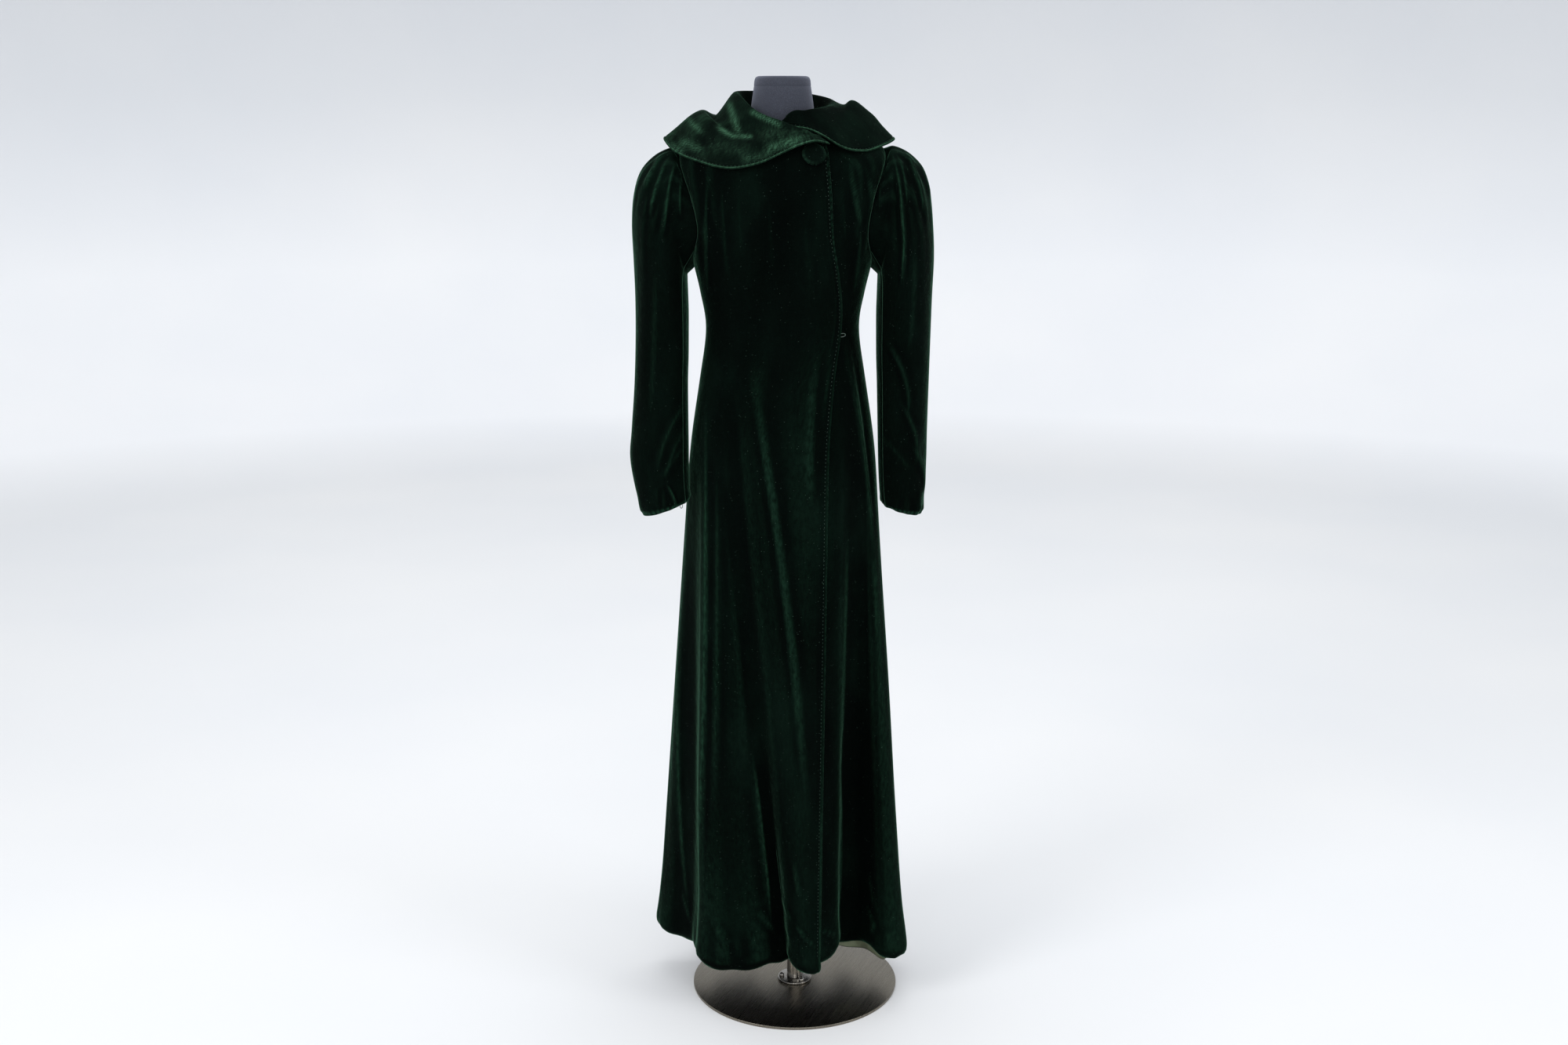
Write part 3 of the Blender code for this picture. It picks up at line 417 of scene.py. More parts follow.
def body(angle, ring):
    """The cloth's inner face on the body, at an angle from the front and a ring number."""
    angle, ring = np.broadcast_arrays(np.asarray(angle, float), np.asarray(ring, float))
    half, front, back, z_side, z_front, z_back, full = (smooth(RING_TABLE, k, ring) for k in range(1, 8))
    turn = np.radians(angle)
    side, ahead = np.sin(turn), np.cos(turn)
    y = np.where(ahead > 0, -front, back) * np.abs(ahead) ** full
    z = z_side + (np.where(ahead > 0, z_front, z_back) - z_side) * ahead**2
    return np.stack([COAT_X + half * side, y, z], axis=-1)


jersey, shader, add, join = material_nodes(
    "slate jersey cover", (0.055, 0.058, 0.085), 0.92, Sheen_Weight=0.35, Sheen_Roughness=0.5,
    Sheen_Tint=(0.62, 0.66, 0.82, 1.0))
place = add("ShaderNodeTexCoord").outputs["Object"]
wales = noise(add, add("ShaderNodeMapping", Vector=place, Scale=(1.0, 1.0, 0.55)), 1500.0, 1.5)
heather = ramp(add, wales, (0.28, (0.016, 0.018, 0.027)), (0.52, (0.028, 0.032, 0.046)),
               (0.78, (0.054, 0.060, 0.080)))
patch = ramp(add, noise(add, place, 22.0, 4.0), (0.3, (0.72, 0.74, 0.80)), (0.7, 1.0))
join(mixed(add, "MULTIPLY", 0.35, heather, patch), shader, "Base Color")
join(bump(add, wales, 0.5, 0.0003), shader, "Normal")

neck = turned("neck_block_cover", NECK_BLOCK, jersey, FORM_SIDES, (COAT_X, 0.0), NECK_TILT)
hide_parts("form_neck")
form_angles = np.arange(FORM_SIDES) * 360.0 / FORM_SIDES
torso_rows = []
for ring in np.linspace(NECK, HIP, FORM_ROWS):
    points = body(form_angles, ring)
    inset = float(smooth(FORM_INSET, 1, ring))
    sunk = np.array([0.0, 0.0, inset * float(ring <= TIP)])
    torso_rows.append(points - from_axis(points) * inset - sunk)
foot_row = torso_rows[-1]
for drop, draw in FORM_FOOT:
    lower = foot_row - from_axis(foot_row) * draw
    lower[:, 2] = foot_row[:, 2] + (FORM_FOOT_Z - foot_row[:, 2]) * drop
    torso_rows.append(lower)
neck_r, neck_z = NECK_BLOCK[0]
form_turn = np.radians(form_angles)
torso_rows.insert(0, np.stack([COAT_X + neck_r * np.sin(form_turn), -neck_r * np.cos(form_turn),
                               neck_z - NECK_TILT * neck_r * np.cos(form_turn) - FIT], axis=-1))
torso_points = np.concatenate(torso_rows)
torso_faces = []
for i in range(len(torso_rows) - 1):
    for j in range(FORM_SIDES):
        a, b = i * FORM_SIDES + j, i * FORM_SIDES + (j + 1) % FORM_SIDES
        torso_faces.append((b + FORM_SIDES, b, a, a + FORM_SIDES))
last = (len(torso_rows) - 1) * FORM_SIDES
torso_faces += [tuple(range(FORM_SIDES)), tuple(range(last, last + FORM_SIDES))[::-1]]
torso = smooth_piece("torso_cover", torso_points.tolist(), torso_faces, jersey, 50.0)
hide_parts("form_torso")
for thing in (neck, torso):
    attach(thing, "root")

# The body of the coat: right front, left front and back, cut from cotton velvet with a dense
# upright pile and sewn at the shoulders and sides. The right front laps over the left, and the
# skirt falls in soft folds to a hem that is turned up thick.
WALL = 0.0018
GAP = 0.0003
SEAM = 0.00006           # how far apart two sewn edges lie in the dressed cloth
LAP_LIFT, LAP_LIFT_NECK = 0.0038, 0.0072
LAP_FULL, LAP_END = 0.45, 0.85
LAP_EASES = (0.4, 2.0)
HEM_Z = 0.085
HEM_PUFF, HEM_THICKER = 0.0042, 0.0012       # how far the hem swells, how much thicker it is
CORNER_R = 0.011
HIP_PER_DEGREE = 0.0022
ARMHOLE_CUT_FRONT, ARMHOLE_CUT_BACK, ARMHOLE_ROUNDNESS = 30.0, 26.0, 0.75
RING_STEPS, SKIRT_STEPS = 112, 128
# Front edges: ring number, distance to the viewer's right of the coat's axis
RIGHT_EDGE = [(0, 0.047), (1, 0.067), (2, 0.073), (4, 0.078), (7, 0.090), (8, 0.080), (9, 0.072)]
LEFT_EDGE = [(0, -0.018), (2, -0.022), (7, -0.020), (9, -0.016)]
# Folds of the skirt in order along the hem: angle at the hip in degrees, x and y of the hem
RIGHT_HEM = [
    (28.5, 0.041, -0.140), (-4.0, 0.018, -0.139), (-20.0, 0.001, -0.116), (-34.0, -0.011, -0.082),
    (-39.0, -0.030, -0.094), (-43.0, -0.059, -0.117), (-47.0, -0.100, -0.126), (-51.0, -0.133, -0.122),
    (-55.0, -0.157, -0.107), (-61.0, -0.166, -0.066), (-67.0, -0.176, -0.032), (-75.0, -0.197, -0.006),
    (-83.0, -0.226, 0.014), (-90.0, -0.243, 0.045),
]
LEFT_HEM = [
    (-6.0, 0.012, -0.094), (10.0, 0.033, -0.114), (27.0, 0.054, -0.094), (39.0, 0.069, -0.064),
    (46.0, 0.077, -0.026), (52.0, 0.103, -0.014), (58.0, 0.130, -0.040), (64.0, 0.152, -0.076),
    (72.0, 0.173, -0.092), (79.0, 0.187, -0.074), (85.0, 0.188, -0.035), (90.0, 0.186, 0.005),
]
BACK_HEM = [
    (-90.0, -0.243, 0.045), (-101.0, -0.237, 0.082), (-110.0, -0.203, 0.099), (-118.0, -0.168, 0.092),
    (-127.0, -0.141, 0.122), (-137.0, -0.110, 0.143), (-147.0, -0.078, 0.136), (-156.0, -0.052, 0.108),
    (-167.0, -0.024, 0.128), (-179.0, 0.006, 0.150), (-191.0, 0.038, 0.141), (-201.0, 0.058, 0.114),
    (-212.0, 0.078, 0.132), (-223.0, 0.103, 0.140), (-234.0, 0.123, 0.120), (-243.0, 0.134, 0.092),
    (-252.0, 0.153, 0.094), (-260.0, 0.173, 0.078), (-270.0, 0.186, 0.005),
]
# Soft folds above the skirt: angle at the start and end, first and last ring, half width, height
FOLD_RISES_OVER = 0.8
RIGHT_FOLDS = [(-62.0, -50.0, 1.2, 4.6, 5.0, 0.0035), (-44.0, -40.0, 1.2, 4.0, 5.0, 0.0030),
               (-18.0, -14.0, 7.2, 9.0, 9.0, 0.0030)]
LEFT_FOLDS = [(44.0, 50.0, 1.2, 4.4, 4.5, 0.0035), (58.0, 58.0, 1.4, 5.0, 4.5, 0.0030),
              (52.0, 56.0, 7.0, 9.0, 6.0, 0.0030)]
BACK_FOLDS = [(-160.0, -158.0, 6.4, 9.0, 7.0, 0.0030), (-200.0, -202.0, 6.4, 9.0, 7.0, 0.0030)]
# Finer creases, as seen from the front or the back: distance from the coat's axis
# and z at the top, the middle and the bottom, half width, height (less than 0 is a trough) and
# how steep its viewer's left and right sides are (1 is even)
RIGHT_CREASES = [
    (-0.056, 1.150, -0.003, 0.800, 0.042, 0.340, 0.0076, 0.0020, 1.7, 0.8),
    (-0.090, 1.140, -0.062, 0.760, -0.047, 0.470, 0.0110, -0.0026, 1.0, 1.0),
    (-0.052, 0.480, -0.034, 0.300, -0.019, 0.150, 0.008, 0.0036, 0.8, 1.8),
    (-0.122, 1.090, -0.125, 0.700, -0.146, 0.125, 0.0076, 0.0034, 0.8, 1.7),
    (-0.165, 0.750, -0.178, 0.400, -0.160, 0.110, 0.008, 0.0026, 0.8, 1.6),
    (-0.106, 0.980, -0.108, 0.640, -0.118, 0.330, 0.0085, 0.0014, 1.0, 1.0),
    (0.068, 1.150, 0.058, 1.020, 0.062, 0.880, 0.007, -0.0018, 1.0, 1.0),
    (-0.114, 1.425, -0.119, 1.340, -0.116, 1.225, 0.0044, 0.0015, 0.9, 1.5),
    (-0.138, 1.395, -0.136, 1.330, -0.126, 1.240, 0.0040, 0.0014, 1.4, 0.8),
    (-0.094, 1.405, -0.091, 1.340, -0.084, 1.250, 0.0052, 0.0007, 1.0, 1.2),
    (-0.068, 1.400, -0.066, 1.350, -0.060, 1.285, 0.0064, 0.0003, 1.0, 1.0),
    (-0.020, 1.380, -0.018, 1.320, -0.012, 1.260, 0.0080, 0.0002, 1.0, 1.0),
    (0.034, 1.360, 0.038, 1.300, 0.048, 1.220, 0.0064, 0.0002, 1.0, 1.0),
    (0.026, 0.176, 0.040, 0.152, 0.060, 0.134, 0.0050, 0.0024, 1.0, 1.6),
    (0.000, 0.210, 0.008, 0.192, 0.020, 0.172, 0.0045, 0.0020, 1.0, 1.0),
    (0.020, 0.290, 0.025, 0.255, 0.030, 0.222, 0.0045, 0.0016, 1.0, 1.0),
    (-0.118, 0.182, -0.108, 0.158, -0.098, 0.136, 0.0050, 0.0018, 1.0, 1.0),
    (-0.042, 0.192, -0.028, 0.165, -0.014, 0.140, 0.0050, 0.0020, 1.0, 1.0),
    (-0.176, 0.180, -0.168, 0.152, -0.160, 0.125, 0.0050, 0.0016, 1.0, 1.0),
    (-0.070, 0.150, -0.062, 0.130, -0.060, 0.108, 0.0050, -0.0016, 1.0, 1.0),
    (-0.092, 0.140, -0.088, 0.124, -0.090, 0.104, 0.0045, -0.0014, 1.0, 1.0),
    (0.004, 0.148, 0.010, 0.128, 0.012, 0.106, 0.0045, -0.0016, 1.0, 1.0),
]
LEFT_CREASES = [
    (0.108, 1.125, 0.126, 1.000, 0.151, 0.790, 0.0055, 0.0030, 0.9, 1.5),
    (0.106, 0.860, 0.099, 0.600, 0.093, 0.400, 0.0105, 0.0023, 0.8, 1.5),
    (0.092, 0.430, 0.098, 0.270, 0.097, 0.140, 0.0080, 0.0022, 0.8, 1.8),
    (0.146, 0.820, 0.153, 0.740, 0.160, 0.640, 0.0060, 0.0016, 1.0, 1.0),
    (0.103, 1.445, 0.112, 1.385, 0.124, 1.330, 0.0034, 0.0017, 1.6, 0.8),
    (0.122, 1.445, 0.138, 1.395, 0.137, 1.290, 0.0040, 0.0017, 0.8, 1.6),
    (0.122, 1.345, 0.119, 1.290, 0.112, 1.225, 0.0048, 0.0014, 1.0, 1.0),
    (0.090, 1.420, 0.094, 1.370, 0.099, 1.310, 0.0044, 0.0004, 1.0, 1.0),
    (0.140, 0.172, 0.156, 0.152, 0.154, 0.116, 0.0045, 0.0024, 1.0, 1.5),
    (0.150, 0.230, 0.156, 0.200, 0.160, 0.170, 0.0050, 0.0014, 1.0, 1.0),
    (0.062, 0.150, 0.074, 0.142, 0.090, 0.124, 0.0045, 0.0024, 1.0, 1.0),
    (0.066, 0.122, 0.078, 0.116, 0.092, 0.104, 0.0045, -0.0020, 1.0, 1.0),
    (0.188, 0.150, 0.184, 0.126, 0.186, 0.100, 0.0045, 0.0018, 1.0, 1.0),
]
BACK_CREASES = [
    (-0.030, 1.160, -0.052, 0.800, -0.062, 0.300, 0.0102, 0.0030, 1.4, 0.9),
    (0.030, 1.150, 0.048, 0.760, 0.060, 0.280, 0.0102, 0.0030, 0.9, 1.4),
    (0.000, 1.100, 0.002, 0.760, 0.004, 0.420, 0.0119, -0.0024, 1.0, 1.0),
    (0.096, 1.080, 0.112, 0.700, 0.124, 0.260, 0.0085, 0.0026, 0.9, 1.5),
    (-0.100, 1.070, -0.118, 0.680, -0.138, 0.240, 0.0085, 0.0026, 1.5, 0.9),
    (-0.070, 1.410, -0.060, 1.330, -0.052, 1.240, 0.0064, 0.0011, 1.0, 1.0),
    (0.066, 1.405, 0.058, 1.320, 0.048, 1.235, 0.0064, 0.0011, 1.0, 1.0),
    (-0.104, 1.400, -0.098, 1.320, -0.088, 1.220, 0.0048, 0.0014, 1.3, 0.9),
    (0.106, 1.395, 0.100, 1.310, 0.090, 1.215, 0.0048, 0.0014, 0.9, 1.3),
    (-0.020, 0.190, -0.010, 0.160, 0.004, 0.136, 0.005, 0.0020, 1.0, 1.0),
    (0.080, 0.186, 0.088, 0.158, 0.100, 0.130, 0.005, 0.0018, 1.0, 1.0),
    (-0.130, 0.180, -0.122, 0.156, -0.110, 0.128, 0.005, 0.0018, 1.0, 1.0),
]


def edge_angle(table, ring):
    """The angle at which a front edge lies, from its distance to the coat's axis."""
    return np.degrees(np.arcsin(smooth(table, 1, ring) / smooth(RING_TABLE, 1, ring)))


def armhole_scoop(ring, cut):
    """Degrees that an armhole is cut in from the side, at one ring number."""
    t = np.clip((np.asarray(ring, float) - TIP) / (UNDERARM - TIP), 0.0, 1.0)
    return cut * np.maximum(np.sin(math.pi * t), 0.0) ** ARMHOLE_ROUNDNESS


def hem_table(hem):
    """The hem's rows, with their share of the panel's width put in front."""
    points = np.array(hem)
    steps = np.linalg.norm(np.diff(points[:, 1:], axis=0), axis=1)
    steps += HIP_PER_DEGREE * np.abs(np.diff(points[:, 0]))
    length = np.concatenate([[0.0], np.cumsum(steps)])
    return [(share,) + row for share, row in zip(length / length[-1], hem)]


# Rows of a panel: ring numbers down to the hip, closer together where the armhole turns, and
# then shares of the way from hip to hem, closer together at the hem
ring_rows = np.unique(np.concatenate([np.linspace(NECK, HIP, RING_STEPS), [TIP, UNDERARM]]))
skirt_rows = np.linspace(0.0, 1.0, SKIRT_STEPS + 1)[1:]
skirt_rows = skirt_rows + 0.055 * np.sin(math.pi * skirt_rows) * skirt_rows
ROWS = len(ring_rows) + len(skirt_rows)
EASE_HEIGHTS = (0.80, 0.93, 1.02, 1.10)      # where the hip is eased into the skirt
EASE_PASSES = 40


def panel(hem, start_angle, end_angle, folds, columns):
    """The inner face of a body panel, as rows from the neckline to the hem."""
    table = hem_table(hem)
    u = np.linspace(0.0, 1.0, columns + 1)
    ring = ring_rows[:, None]
    gathered = smooth(table, 1, u) - (start_angle(HIP) + (end_angle(HIP) - start_angle(HIP)) * u)
    even = start_angle(ring) + (end_angle(ring) - start_angle(ring)) * u
    angle = even + gathered * blend(UNDERARM, HIP, ring)
    points = body(angle, ring)
    for first, last_angle, top, bottom, width, height in folds:
        middle = first + (last_angle - first) * np.clip((ring - top) / (bottom - top), 0.0, 1.0)
        reach = span(top, top + FOLD_RISES_OVER, bottom - FOLD_RISES_OVER, bottom + FOLD_RISES_OVER, ring)
        lift = height * reach * hump(angle - middle, width)
        points = points + from_axis(points) * lift[..., None]
    foot = np.stack([smooth(table, 2, u), smooth(table, 3, u), np.full_like(u, HEM_Z)], axis=-1)
    skirt = points[-1] + (foot - points[-1]) * skirt_rows[:, None, None]
    grid = np.concatenate([points, skirt])
    ease = span(*EASE_HEIGHTS, grid[..., 2:])
    for _ in range(EASE_PASSES):
        middle = 0.5 * (grid[:-2] + grid[2:])
        grid[1:-1] += (middle - grid[1:-1]) * 0.5 * ease[1:-1]
    return grid


def outward(grid, centre):
    """Unit normals of a grid, on the side away from a centre line given for each row."""
    down = np.gradient(grid, axis=0)
    across = np.gradient(grid, axis=1)
    normal = unit(np.cross(across, down))
    if np.sum(normal * (grid - centre)) < 0:
        normal = -normal
    return normal


def along(grid, axis):
    """The distance walked along a grid, in the direction of one of its axes."""
    steps = np.linalg.norm(np.diff(grid, axis=axis), axis=-1)
    start = np.zeros_like(np.take(steps, [0], axis))
    return np.concatenate([start, np.cumsum(steps, axis=axis)], axis=axis)


# Painted highlight along the top of a crease: the share of its width, and how bright for each metre
CREST_SHARE, CREST_SHINE = 0.30, 190.0
CREASE_ENDS = (0.0, 0.30, 0.72, 1.0)         # shares of its length over which it comes and goes


def creased(grid, table, seen):
    """Heights of the placed creases over a grid, and a painted highlight along each crease's top (below 0
    along a trough).
    """
    across = grid[..., 0] - COAT_X
    z = grid[..., 2]
    rise = np.zeros(z.shape)
    line = np.zeros(z.shape)
    for x0, z0, x1, z1, x2, z2, width, height, left_side, right_side in table:
        t = (z0 - z) / (z0 - z2)
        t1 = (z0 - z1) / (z0 - z2)
        bow = (x1 - x0 - (x2 - x0) * t1) / (t1 * (1.0 - t1))
        t = np.clip(t, 0.0, 1.0)
        away = across - (x0 + (x2 - x0) * t + bow * t * (1.0 - t))
        away = away * np.where(away < 0, left_side, right_side) / width
        ends = span(*CREASE_ENDS, t)
        rise += height * ends * hump(away, 1.0)
        line += CREST_SHINE * height * ends * hump(away, CREST_SHARE)
    return rise * seen, np.clip(line, -1.0, 1.0) * seen


def ripple(across, down, seed, count, long, low, high, height):
    """A sum of shallow waves over a grid with fixed pseudo-random places and sizes."""
    draw = np.random.default_rng(seed)
    total = np.zeros(np.broadcast(across, down).shape)
    for _ in range(count):
        wave = draw.uniform(low, high)
        lean = draw.uniform(-0.25, 0.25)
        phase, slow = draw.uniform(0.0, 2 * math.pi, 2)
        share = 0.5 + 0.5 * np.sin(down * draw.uniform(0.5, 1.6) * 2 * math.pi / long + slow)
        total += np.sin((across + lean * down) * 2 * math.pi / wave + phase) * share
    return total * height / math.sqrt(count)


# Shell of a cloth piece: the outer face, a rounded rim on each free edge and the inner face
RIM_STEPS = 4
FLAT_RIM = 0.08              # how far a seam's edge bulges, where a free edge's rim is 1


def set_faces(mesh, points, faces):
    """Fill a mesh from arrays: points, and faces that all have the same number of corners."""
    corners = faces.shape[1]
    mesh.vertices.add(len(points))
    mesh.vertices.foreach_set("co", points.astype(np.float32).ravel())
    mesh.loops.add(faces.size)
    mesh.loops.foreach_set("vertex_index", faces.astype(np.int32).ravel())
    mesh.polygons.add(len(faces))
    mesh.polygons.foreach_set("loop_start", np.arange(0, faces.size, corners, dtype=np.int32))
    mesh.polygons.foreach_set("use_smooth", np.ones(len(faces), bool))
    mesh.update(calc_edges=True)


def mark_cloth(mesh, flat, painted_highlight_and_dark_edge):
    """Give each point of a mesh its place on the flat cloth, and its painted tone: a painted highlight on the
    velvet, a darker edge on the lining.
    """
    corner = np.zeros(len(mesh.loops), dtype=np.int32)
    mesh.loops.foreach_get("vertex_index", corner)
    layer = mesh.uv_layers.new(name="cloth")
    layer.data.foreach_set("uv", flat[corner].astype(np.float32).ravel())
    mark = mesh.attributes.new("painted_highlight_and_dark_edge", "FLOAT", "POINT")
    mark.data.foreach_set("value", painted_highlight_and_dark_edge.astype(np.float32))


def shell(name, inner, outer, round_sides, material, painted_highlight_and_dark_edge):
    """Close two grids into one thin wall. Free edges are rounded over, seams nearly square."""
    rows, columns = inner.shape[:2]
    loop = [(0, j, 0) for j in range(columns - 1)]
    loop += [(i, columns - 1, 3) for i in range(rows - 1)]
    loop += [(rows - 1, j, 1) for j in range(columns - 1, 0, -1)]
    loop += [(i, 0, 2) for i in range(rows - 1, 0, -1)]
    row, column, side = (np.array(k) for k in zip(*loop))
    step_row = np.where(row == 0, 1, np.where(row == rows - 1, rows - 2, row))
    step_column = np.where(column == 0, 1, np.where(column == columns - 1, columns - 2, column))
    use_row = (side == 0) | (side == 1)
    back_row = np.where(use_row, step_row, row)
    back_column = np.where(use_row, column, step_column)
    middle = (inner + outer) / 2
    half = (outer - inner)[row, column] / 2
    away = unit(middle[row, column] - middle[back_row, back_column])
    rounding = np.array([1.0 if s in round_sides else FLAT_RIM for s in side])
    reach = np.linalg.norm(half, axis=-1) * rounding
    points = [outer.reshape(-1, 3), inner.reshape(-1, 3)]
    count = rows * columns
    rings = [row * columns + column]
    total = 2 * count
    for k in range(1, RIM_STEPS):
        turn = math.pi * k / RIM_STEPS
        points.append(middle[row, column] + half * math.cos(turn) + away * (reach * math.sin(turn))[:, None])
        rings.append(total + np.arange(len(loop)))
        total += len(loop)
    rings.append(count + row * columns + column)
    i, j = np.meshgrid(np.arange(rows - 1), np.arange(columns - 1), indexing="ij")
    a = (i * columns + j).ravel()
    quads = np.stack([a, a + 1, a + 1 + columns, a + columns], axis=-1)
    faces = [quads, quads[:, ::-1] + count]
    for near, far in zip(rings, rings[1:]):
        faces.append(np.stack([np.roll(near, -1), near, far, np.roll(far, -1)], axis=-1))
    faces = np.concatenate(faces)
    normal = np.cross(outer[1, 1] - outer[1, 0], outer[2, 0] - outer[1, 0])
    if np.dot(normal, outer[1, 0] - inner[1, 0]) < 0:
        faces = faces[:, ::-1]
    mesh = bpy.data.meshes.new(name)
    set_faces(mesh, np.concatenate(points), faces)
    widths = np.linalg.norm(np.diff(outer, axis=1), axis=-1).mean(axis=0)
    across = np.broadcast_to(np.concatenate([[0.0], np.cumsum(widths)]), (rows, columns))
    flat = np.stack([across, along(outer, 0)], axis=-1).reshape(-1, 2)
    # The painted highlights, and the lining's darker edge, go on the outer face and the rim; the inner face
    # gets none.
    painted_tone_per_point = painted_highlight_and_dark_edge.reshape(-1)
    rim = row * columns + column
    flat = np.concatenate([flat, flat] + [flat[rim]] * (RIM_STEPS - 1))
    painted_tone_per_point = np.concatenate([painted_tone_per_point, painted_tone_per_point * 0.0] + [painted_tone_per_point[rim]] * (RIM_STEPS - 1))
    mark_cloth(mesh, flat, painted_tone_per_point)
    return link(name, mesh, material)


CREST_REACH = 3              # columns to each side that a point is compared with


def crest(grid, normal, scale):
    """How far each point stands above its row's neighbours: over 0 on ridges, under in troughs."""
    inside = slice(CREST_REACH, -CREST_REACH)
    around = (grid[inside, 2 * CREST_REACH:] + grid[inside, :-2 * CREST_REACH]) / 2.0
    value = np.zeros(grid.shape[:2])
    value[inside, inside] = np.sum((grid[inside, inside] - around) * normal[inside, inside], axis=-1)
    return np.clip(value / scale, -1.0, 1.0)


def velvet_material(name, sheen, light):
    """Velvet: a dark ground, a pile that catches light at a glance, brushed patches and lint, and painted
    highlights in the given light colour where each point's painted highlight mark says.
    """
    material, shader, add, join = material_nodes(
        name, (0.001, 0.003, 0.002), 0.95, Specular_IOR_Level=0.02, Sheen_Weight=sheen,
        Sheen_Roughness=0.20, Sheen_Tint=(0.24, 0.62, 0.38, 1.0))
    place = add("ShaderNodeTexCoord").outputs["Object"]
    cloth = add("ShaderNodeUVMap", uv_map="cloth")
    lay = add("ShaderNodeMapping", Vector=place, Scale=(1.0, 1.0, 0.42))
    brushed = noise(add, lay, 9.0, 5.0, Roughness=0.6)
    ground = ramp(add, brushed, (0.30, (0.0004, 0.0010, 0.0008)), (0.52, (0.0008, 0.0022, 0.0016)),
                  (0.72, (0.0018, 0.0056, 0.0036)))
    tufts = ramp(add, noise(add, place, 2400.0, 1.0), (0.25, 0.45), (0.75, 1.55))
    piled = mixed(add, "MULTIPLY", 0.8, ground, tufts)
    # Painted highlights: where a point's painted highlight mark is over 0, the pale light colour is mixed
    # over the ground, broken into streaks along the cloth.
    painted_highlight_and_dark_edge = add("ShaderNodeAttribute", attribute_name="painted_highlight_and_dark_edge").outputs["Fac"]
    shifted = add("ShaderNodeMapRange", From_Min=-1.0, From_Max=1.0, Value=painted_highlight_and_dark_edge)
    painted_highlight_share = ramp(add, shifted, (0.0, 0.0), (0.5, 0.0), (1.0, 1.0))
    streaks = add("ShaderNodeMapping", Vector=cloth, Scale=(260.0, 70.0, 1.0))
    patchy = ramp(add, noise(add, streaks, 1.0, 3.0, Roughness=0.7), (0.36, 0.25), (0.62, 1.0))
    streaked_highlight_share = mixed(add, "MULTIPLY", 1.0, painted_highlight_share, patchy)
    lit = mixed(add, "MIX", streaked_highlight_share, piled, (*light, 1.0))
    lint = add("ShaderNodeTexVoronoi", Vector=place, Scale=210.0)
    specks = ramp(add, lint, (0.0, 1.0), (0.095, 0.0))
    rare = ramp(add, noise(add, place, 60.0, 1.0), (0.50, 0.0), (0.56, 0.8))
    dust = mixed(add, "MULTIPLY", 1.0, specks, rare)
    join(mixed(add, "MIX", dust, lit, (0.15, 0.25, 0.19, 1.0)), shader, "Base Color")
    warp = add("ShaderNodeMapping", Vector=cloth, Scale=(1300.0, 900.0, 1.0))
    fuzz = bump(add, noise(add, warp, 1.0, 2.0), 0.55, 0.0005)
    lean = bump(add, noise(add, place, 55.0, 3.0), 0.30, 0.004, Normal=fuzz)
    join(lean, shader, "Normal")
    return material


velvet = velvet_material("green velvet, body", 0.40, (0.0140, 0.0490, 0.0275))


def right_start(ring):
    return edge_angle(RIGHT_EDGE, ring)


def left_start(ring):
    return edge_angle(LEFT_EDGE, ring)


RIGHT_COLUMNS, LEFT_COLUMNS, BACK_COLUMNS = 132, 100, 148
right = panel(RIGHT_HEM, right_start, lambda ring: -90.0 + armhole_scoop(ring, ARMHOLE_CUT_FRONT),
              RIGHT_FOLDS, RIGHT_COLUMNS)
left = panel(LEFT_HEM, left_start, lambda ring: 90.0 - armhole_scoop(ring, ARMHOLE_CUT_FRONT),
             LEFT_FOLDS, LEFT_COLUMNS)
back = panel(BACK_HEM, lambda ring: -90.0 - armhole_scoop(ring, ARMHOLE_CUT_BACK),
             lambda ring: -270.0 + armhole_scoop(ring, ARMHOLE_CUT_BACK), BACK_FOLDS, BACK_COLUMNS)
row_centre = np.zeros((ROWS, 1, 3))
row_centre[:, 0, 0] = COAT_X
row_centre[:, 0, 2] = right[:, :, 2].mean(axis=1)
right_normal = outward(right, row_centre)
left_normal = outward(left, row_centre)
back_normal = outward(back, row_centre)
seam_rows = [i for i in range(ROWS) if i >= len(ring_rows) or not TIP < ring_rows[i] < UNDERARM]


def join_sides(front, front_normal, other, other_normal, column):
    """Give a front and the back one common edge at their seams, SEAM apart."""
    inner = 1 if column == 0 else -2
    for i in seam_rows:
        across = unit(other[i, inner] - front[i, -2])
        normal = unit(front_normal[i, -1] + other_normal[i, column])
        normal = unit(normal - across * np.dot(normal, across))
        front_normal[i, -1] = normal
        other_normal[i, column] = normal
        front[i, -1] = front[i, -1] - across * SEAM / 2
        other[i, column] = other[i, column] + across * SEAM / 2


join_sides(right, right_normal, back, back_normal, 0)
join_sides(left, left_normal, back, back_normal, -1)


def lap_lift(ring, share):
    """How far the right front is lifted, at a ring number and a share of its width."""
    height = LAP_LIFT_NECK + (LAP_LIFT - LAP_LIFT_NECK) * blend(*LAP_EASES, ring)
    return height * (1.0 - blend(LAP_FULL, LAP_END, share))


all_rings = np.concatenate([ring_rows, np.full(len(skirt_rows), HIP)])[:, None]
right += right_normal * lap_lift(all_rings, np.linspace(0.0, 1.0, right.shape[1]))[..., None]

# How the turned hem swells: height above its edge, share of HEM_PUFF
HEM_SWELL = [(0.0, -1.3), (0.004, -0.3), (0.010, 0.55), (0.020, 0.95), (0.034, 0.9), (0.070, 0.45),
             (0.120, 0.08), (0.160, 0.0), (0.200, 0.0), (2.0, 0.0)]
# Waves for ripple: how many, length of their swell, shortest, longest, height
PANEL_WAVES = (7, 0.9, 0.05, 0.16, 0.0007)
HEM_WAVES = (9, 0.16, 0.035, 0.11, 0.0010)
HEM_SCALLOPS = (6, 1.0, 0.045, 0.11, 0.0040)
